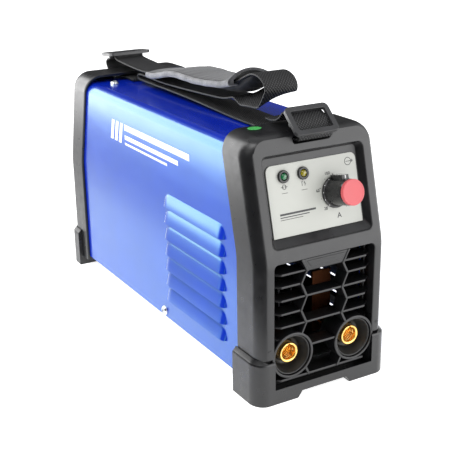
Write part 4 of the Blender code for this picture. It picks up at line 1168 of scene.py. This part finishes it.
def pad_lining():
    """Black cloth that bulges out below the pad and ahead of its open end: painted shade where the pad's
    underside and mouth lie in shade.
    """
    stops = [(84.0, 1.2), (90.0, 5.0), (100.0, 7.2), (112.0, 7.8), (126.0, 6.9), (140.0, 5.8), (155.0, 4.6),
             (172.0, 2.0)]      # (distance back, depth below the strap)
    path, _ = evenly(smooth_route(BUCKLE_TO_BIGHT[-2:] + PAD_RUN[:5]), 1.5)
    half, rings = 13.0, []
    for i, (p, n) in enumerate(zip(path, normals_of(path))):
        at = min(max(p.x, stops[0][0]), stops[-1][0])
        (d0, h0), (d1, h1) = next(pair for pair in zip(stops, stops[1:]) if at <= pair[1][0])
        sag = h0 + (h1 - h0) * (at - d0) / (d1 - d0) + 0.2 * math.sin(i * 0.8)
        outline = [(half * math.cos(math.pi * k / 14), -1.0 - sag * math.sin(math.pi * k / 14) ** 0.7)
                   for k in range(15)]
        rings.append([strap_point(p, n, x, h) for x, h in outline])
    dress(loft("pad_lining", rings), "lining", "black_plastic", angle=60)


def pad_binding(side):
    """Folded binding tape sewn along one long edge of the pad."""
    path, _ = evenly(smooth_route(PAD_RUN), 1.5)
    normals = normals_of(path)
    rings = []
    for i, (p, n) in enumerate(zip(path, normals)):
        wave = 0.25 * math.sin(i * 0.45 + side)
        outline = [(-3.2, 1.75), (-1.0, 2.35), (0.2, 2.1), (0.75, 1.2), (0.85, 0), (0.75, -1.2), (0.2, -2.4),
                   (-1.0, -2.9), (-3.2, -2.6), (-2.8, 0.0)]
        rings.append([strap_point(p, n, side * (PAD_HALF - 0.6 + u), v + wave * 0.5) for u, v in outline])
    word = "left" if side < 0 else "right"
    tape = loft(f"pad_binding_{word}", rings)
    dress(tape, "binding", "pad_grey", angle=60)
    stitches = []
    for i in range(1, len(path) - 2, 2):
        a, b = path[i], path[i + 1]
        points = []
        for p, q in ((a, normals[i]), (b, normals[i + 1])):
            points.append([strap_point(p, q, side * (PAD_HALF - 3.0) + u, 2.55 + v)
                           for u, v in ((-0.22, 0), (0, 0.22), (0.22, 0), (0, -0.22))])
        stitches.append(loft("stitch", points))
    dress(joined(f"pad_stitches_{word}", stitches), "thread", "pad_grey")


def buckle(name, node, centre, angle, half):
    """Slide buckle: a flat ring with soft edges and a low middle bar."""
    length, thick = 25.5, 3.0
    place = Matrix.Translation((0, centre[0] - LENGTH / 2, centre[1]))
    place = place @ Matrix.Rotation(math.radians(angle), 4, "X")
    body = prism(name, rounded_box(half, length / 2, 4.0), -thick / 2, thick / 2, "Z", place)
    cut(body, prism("window", rounded_box(WEB_HALF + 0.2, 8.6, 1.6), -5, 5, "Z", place))
    bars = [box("bar", (-WEB_HALF - 2, -1.4, -4.2), (WEB_HALF + 2, 1.4, -2.3), place)]
    for side in (-1, 1):
        low, high = sorted((side * (WEB_HALF + 0.6), side * (WEB_HALF + 3.2)))
        bars.append(box("lug", (low, -1.4, -4.2), (high, 1.4, 0), place))
    fuse(body, *bars)
    bevelled(body, 0.55, 3, 40)
    dress(body, "buckle", "buckle_plastic", node)


def sticker():
    y = 49.0 - LENGTH / 2
    rings = []
    for z, share in ((0.3, 1.0), (0.45, 1.0), (0.55, 0.97), (0.6, 0.9)):
        rings.append([(-33.5 + 5.6 * share * math.cos(a), y + 4.6 * share * math.sin(a), BEZEL_TOP + z)
                      for a in [2 * math.pi * k / 48 for k in range(48)]])
    dress(loft("round_label", rings), "sticker", "sticker_green",
                 "inspection_sticker")


# ---------------------------------------------------------------- rear fittings

def power_switch():
    place = rear_frame(SWITCH_X, SWITCH_Z)
    body = prism("switch_frame", rounded_box(12.6, 16.0, 1.4), 0.3, 2.2, "Z", place)
    fuse(body, box("barrel", (-10.2, -12.8, -17.0), (10.2, 12.8, 1.0), place))
    cut(body, box("window", (-8.6, -11.2, -14.0), (8.6, 11.2, 6.0), place))
    bevelled(body, 0.4, 3)
    dress(body, "bezel", "black_plastic", "power_switch_housing")
    tilt = place @ Matrix.Rotation(math.radians(-ROCKER_REST), 4, "X")
    top = [(9.6, 0.8), (8.8, 3.6)] + arc(0, 15.8, 14.6, 14.0, -53, -127, 10) + [(-8.8, 3.6), (-9.6, 0.8)]
    outline = top + [(-9.6, -3.0), (-3.5, -6.5), (3.5, -6.5), (9.6, -3.0)]
    rocker = prism("switch_rocker_key", outline, -8.3, 8.3, "X", tilt)
    bevelled(rocker, 0.35, 3)
    dress(rocker, "rocker", "rocker_black", "power_switch_rocker", body="rocker")
    marks = []
    for centre, kind in ((5.6, "line"), (-5.6, "circle")):
        spot = tilt @ Matrix.Translation((0, centre, 2.75))
        if kind == "line":
            marks.append(box("mark", (-0.3, -1.5, 0), (0.3, 1.5, 0.35), spot))
        else:
            marks.append(turned("mark", [(1.1, 0), (1.5, 0), (1.5, 0.35), (1.1, 0.35)], spot, 32))
    dress(joined("switch_marks", marks), "white_ink", "rocker_black", body="rocker")


def cable_gland():
    place = rear_frame(GLAND_X, GLAND_Z, -10.0)
    profile = [(5.6, 0.0), (8.0, 0.0), (8.0, 10.3), (9.6, 10.3), (9.6, 14.0), (9.0, 14.0), (9.0, 20.0),
               (5.6, 20.0)]
    body = turned("gland_body", profile, place, 48)
    hexagon = arc(0, 0, 12.2, 12.2, 0, 300, 5)
    fuse(body, cut(prism("hex", hexagon, 10.3, 14.0, "Z", place),
                   turned("bore", [(0, 9), (7.5, 9), (7.5, 15), (0, 15)], place, 48)))
    bevelled(body, 0.3, 2, 40)
    dress(body, "bezel", "black_plastic", "cable_gland")
    place = rear_frame(GLAND_X, GLAND_Z, 4.4)
    profile = [(9.3, 0.0), (11.4, 0.0), (11.7, 0.4), (11.7, 5.2)] + arc(8.2, 5.8, 3.2, 6.2, 20, 84, 8)
    profile += [(6.4, 12.0), (5.8, 12.0), (5.8, 6.6), (9.3, 6.0)]
    nut = turned("gland_dome", profile, place, 72)
    flutes = []
    for k in range(12):
        a = 2 * math.pi * k / 12
        flutes.append(turned("flute", [(0, -2), (1.0, -2), (1.0, 4.6), (0, 5.6)],
                             place @ Matrix.Translation((12.1 * math.cos(a), 12.1 * math.sin(a), 0)), 12))
    cut(nut, *flutes)
    dress(nut, "bezel", "black_plastic", "gland_nut")


def wire_ring(radius, y, wire=1.0):
    return turned("wire", arc(radius, 0, wire, wire, 0, 315, 7), upright((0, y, FAN_Z), (0, 1, 0)), 72)


def fan_guard():
    """Chromed finger guard: round wires on a cross, let into the rear face."""
    y = -FRONT - 1.2
    parts = [wire_ring(r, y) for r in (9.0, 15.5, 22.0, 28.5, 35.0, 41.0)]
    parts.append(wire_ring(GRILLE_RADIUS - 1.3, y, 1.2))
    for angle in (45, 135):
        a = math.radians(angle)
        reach = Vector((math.cos(a), 0, math.sin(a))) * (GRILLE_RADIUS - 1.6)
        centre = Vector((0, y - 1.0, FAN_Z))
        parts.append(rod("bar", 1.05, centre - reach, centre + reach, 12))
    parts.append(turned("hub", [(0, -0.6), (7.0, -0.6), (7.4, -0.2), (7.0, 0.5), (0, 0.7)],
                        upright((0, y, FAN_Z), (0, 1, 0)), 48))
    dress(joined("fan_guard_wires", parts), "wire", "guard_wire", "fan_guard")


FAN_DEPTH = 21.0
BLADES, BLADE_PITCH = 7, 38
BLADE_ROOT, BLADE_REACH = 17.0, 22.5


def fan_rotor():
    """Hub with a rounded rim and seven twisted blades with a curved camber."""
    y0 = -FRONT - BEZEL_FRONT_WALL - 0.3 - FAN_DEPTH
    place = upright((0, y0, FAN_Z), (0, 1, 0))
    hub = turned("hub", [(0, 0), (18.0, 0), (18.5, 0.5), (18.5, 16.5)] + arc(17.0, 16.5, 1.5, 1.5, 0, 90, 5) +
                 [(11.0, 18.0), (10.6, 17.6), (0, 17.6)], place, 64)
    parts = [hub]
    for k in range(BLADES):
        rings = []
        for step in range(7):
            radius = BLADE_ROOT + BLADE_REACH * step / 6
            chord = 10.5 + (radius - 16.0) * 0.36
            rise = chord * math.tan(math.radians(BLADE_PITCH)) * 16.0 / radius
            upper, lower = [], []
            for j in range(9):
                s = 2 * j / 8 - 1
                camber = 1.1 * (1 - s * s)
                thick = 0.15 + 0.65 * math.sqrt(max(0.0, 1 - s * s))
                sweep = 0.0012 * (radius - BLADE_ROOT) ** 2 * 6
                u, v = s * chord + sweep, s * rise + camber
                upper.append((u, v + thick))
                lower.append((u, v - thick))
            turn = 2 * math.pi * k / BLADES
            ring_points = []
            for u, v in upper + lower[::-1]:
                a = turn + u / radius
                ring_points.append((radius * math.cos(a), radius * math.sin(a), 9.0 - v))
            rings.append(ring_points)
        parts.append(loft("blade", rings, place))
    dress(joined("fan_wheel", parts), "fan", "fan_plastic", "fan_rotor", body="fan")


# ---------------------------------------------------------------- decoration and carried-over nodes

def side_decal(side):
    """Generic white trim on the cover's side: three slanted bars and three level ones."""
    x = COVER_HALF + 0.02
    parts = []

    def quad(y0, y1, z0, z1, slant=0.0):
        outline = [(y0, z0), (y1, z0), (y1 - slant, z1), (y0 - slant, z1)]
        outline = [(y - LENGTH / 2, z) for y, z in outline]
        low, high = sorted((side * x, side * (x + 0.08)))
        parts.append(prism("mark", outline, low, high, "X"))

    for k in range(3):
        quad(262.0 - 9.0 * k, 267.5 - 9.0 * k, 156.0, 175.0, 5.0)
    quad(112.0, 236.0, 169.5, 175.0, 0.0)
    quad(132.0, 236.0, 161.0, 165.0, 0.0)
    quad(152.0, 236.0, 156.0, 158.0, 0.0)
    word = "left" if side < 0 else "right"
    dress(joined(f"side_trim_{word}", parts), "white_ink", "blue_paint")


def carried_over():
    """CAD nodes whose shape is kept: a procedural look and softened edges."""
    looks = {
        "base_plate": "steel", "potentiometer": "zinc", "fan_frame": "fan",
        "heatsink_front": "aluminium", "heatsink_rear": "aluminium", "main_board": "board",
        "control_board": "board", "transformer_core": "ferrite", "transformer_winding": "copper",
        "output_inductor": "copper", "capacitor_front": "sleeve", "capacitor_rear": "sleeve",
        "rectifier_bridge": "epoxy", "power_relay": "relay",
        "bus_bar_left": "copper", "bus_bar_right": "copper",
    }
    for node, look in looks.items():
        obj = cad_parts[node]
        obj.data.materials.clear()
        obj.data.materials.append(look_of(look))
        bevelled(obj, 0.25, 2, 40)


# ---------------------------------------------------------------- studio

FLOOR_REACH = 12.0
FLOOR_GLOW = 0.9          # the floor is lit past white, as on a light table
SKY_COLOUR, SKY_GLOW = (0.97, 0.985, 1.0, 1.0), 0.75


def stage_floor():
    mesh = bpy.data.meshes.new("floor")
    corners = [(x * FLOOR_REACH, y * FLOOR_REACH, 0) for x, y in ((-1, -1), (1, -1), (1, 1), (-1, 1))]
    mesh.from_pydata(corners, [], [(0, 1, 2, 3)])
    floor = linked("floor", mesh)
    look = Look("pale_floor", (0.92, 0.92, 0.92), 0.6, Emission_Strength=FLOOR_GLOW)
    look.set("Emission Color", (1, 1, 1, 1))
    mesh.materials.append(look.material)


def screen(name, plan, bottom, top, brightness):
    """An upright studio card over a plan line; it only shows in reflections.

    The brightness is one value, or (height, value) stops from the floor up.
    """
    mesh = bpy.data.meshes.new(name)
    corners = [(x, y, z) for x, y in plan for z in (bottom, top)]
    mesh.from_pydata(corners, [], [(2 * i, 2 * i + 1, 2 * i + 3, 2 * i + 2) for i in range(len(plan) - 1)])
    obj = linked(name, mesh)
    look = Look(name, (0, 0, 0), 1.0)
    look.set("Specular IOR Level", 0.0)
    look.set("Emission Color", (1, 1, 1, 1))
    if isinstance(brightness, float):
        look.set("Emission Strength", brightness)
    else:
        height = look.node("ShaderNodeSeparateXYZ", Vector=look.place).outputs["Z"]
        most = max(value for _, value in brightness)
        share = look.mixed("DIVIDE", height, top)
        tone = look.ramp(share, [(z / top, (value / most,) * 3) for z, value in brightness])
        strength = look.mixed("MULTIPLY", tone, most)
        look.tree.links.new(strength, look.shader.inputs["Emission Strength"])
    mesh.materials.append(look.material)
    for ray in ("camera", "diffuse", "transmission", "shadow", "volume_scatter"):
        setattr(obj, f"visible_{ray}", False)


def area_light(name, location, target, size, power):
    lamp_data = bpy.data.lights.new(name, "AREA")
    lamp_data.shape, lamp_data.size, lamp_data.energy = "SQUARE", size, power
    light = linked(name, lamp_data)
    light.location = location
    light.rotation_euler = (Vector(target) - Vector(location)).to_track_quat("-Z", "Y").to_euler()


def studio():
    stage_floor()
    world = bpy.data.worlds.new("studio")
    bpy.context.scene.world = world
    world.use_nodes = True
    background = world.node_tree.nodes["Background"]
    background.inputs["Color"].default_value = SKY_COLOUR
    background.inputs["Strength"].default_value = SKY_GLOW
    area_light("key", (-0.9, -0.2, 1.5), (0, 0, 0.1), 0.9, 16.0)
    area_light("fill", (1.2, -1.0, 0.9), (0, 0, 0.1), 0.8, 6.0)
    middle = MIDDLE * MM
    flag = [(-0.05 + 0.15 * math.cos(math.radians(a)), middle - 0.15 + 0.15 * math.sin(math.radians(a)))
            for a in range(138, 253, 5)]
    screen("dark_flag", flag, 0.0, 0.42, 0.01)
    front = [(-0.05, middle - 0.62), (0.25, middle - 0.62), (0.60, middle - 0.35)]
    screen("front_box", front, 0.0, 0.60, 3.6)
    side_stops = [(0.0, 1.45), (0.045, 1.0), (0.07, 1.0), (0.078, 1.35), (0.10, 1.6), (0.118, 5.6),
                  (0.48, 5.6), (0.54, 0.25), (0.9, 0.15)]
    screen("soft_box", [(-0.17, middle - 0.02), (-0.17, middle + 0.95)], 0.0, 0.9, side_stops)
    screen("dark_end", [(-0.05, middle + 0.78), (0.95, middle + 0.45)], 0.10, 1.0, 0.10)
    bpy.context.scene.view_settings.view_transform = "Standard"


CAMERA_PLACE = (-0.40046, MIDDLE * MM - 0.73147, 0.37714)
CAMERA_TURN = (29.94, 19.56, -0.92)       # degrees to the right, down, and about the view line
SENSOR, LENS = 36.0, 76.46                # millimetres


def camera():
    """The viewpoint: above and to the left of the front, 0.9 m from the object."""
    yaw, pitch, tilt = [math.radians(degrees) for degrees in CAMERA_TURN]
    data = bpy.data.cameras.new("camera")
    data.sensor_width, data.lens = SENSOR, LENS
    obj = linked("camera", data)
    right = Vector((math.cos(yaw), -math.sin(yaw), 0))
    ahead = Vector((math.sin(yaw) * math.cos(pitch), math.cos(yaw) * math.cos(pitch), -math.sin(pitch)))
    up = right.cross(ahead)
    across = right * math.cos(tilt) + up * math.sin(tilt)
    above = up * math.cos(tilt) - right * math.sin(tilt)
    turn = Matrix((across, above, -ahead)).transposed().to_4x4()
    obj.matrix_world = Matrix.Translation(CAMERA_PLACE) @ turn
    bpy.context.scene.camera = obj


# ---------------------------------------------------------------- assembly

def build():
    camera()
    front_bezel()
    rear_bezel()
    front_grille()
    socket_surround()
    foot_guard("front_guard_shell", "front_foot_guard", GUARD_FRONT_DEPTH, 1)
    foot_guard("rear_guard_shell", "rear_foot_guard", GUARD_REAR_DEPTH, -1)
    cover()
    for node, centre, way in screw_places():
        cover_screw(node, centre, way)
    control_plate()
    panel_print()
    current_knob()
    knob_cap()
    lamp("power", LED_XS["power"], "green_led", "led_green")
    lamp("alarm", LED_XS["alarm"], "yellow_led", "led_yellow")
    socket("left", -1)
    socket("right", 1)
    strap_webbing()
    shoulder_pad()
    pad_lining()
    pad_binding(-1)
    pad_binding(1)
    buckle("front_slide_buckle", "front_buckle", (23.5, 213.5), 41.8, 19.2)
    buckle("rear_slide_buckle", "rear_buckle", (349.5, 219.0), -6.0, 22.0)
    sticker()
    power_switch()
    cable_gland()
    fan_guard()
    fan_rotor()
    side_decal(-1)
    side_decal(1)
    carried_over()
    studio()


build()
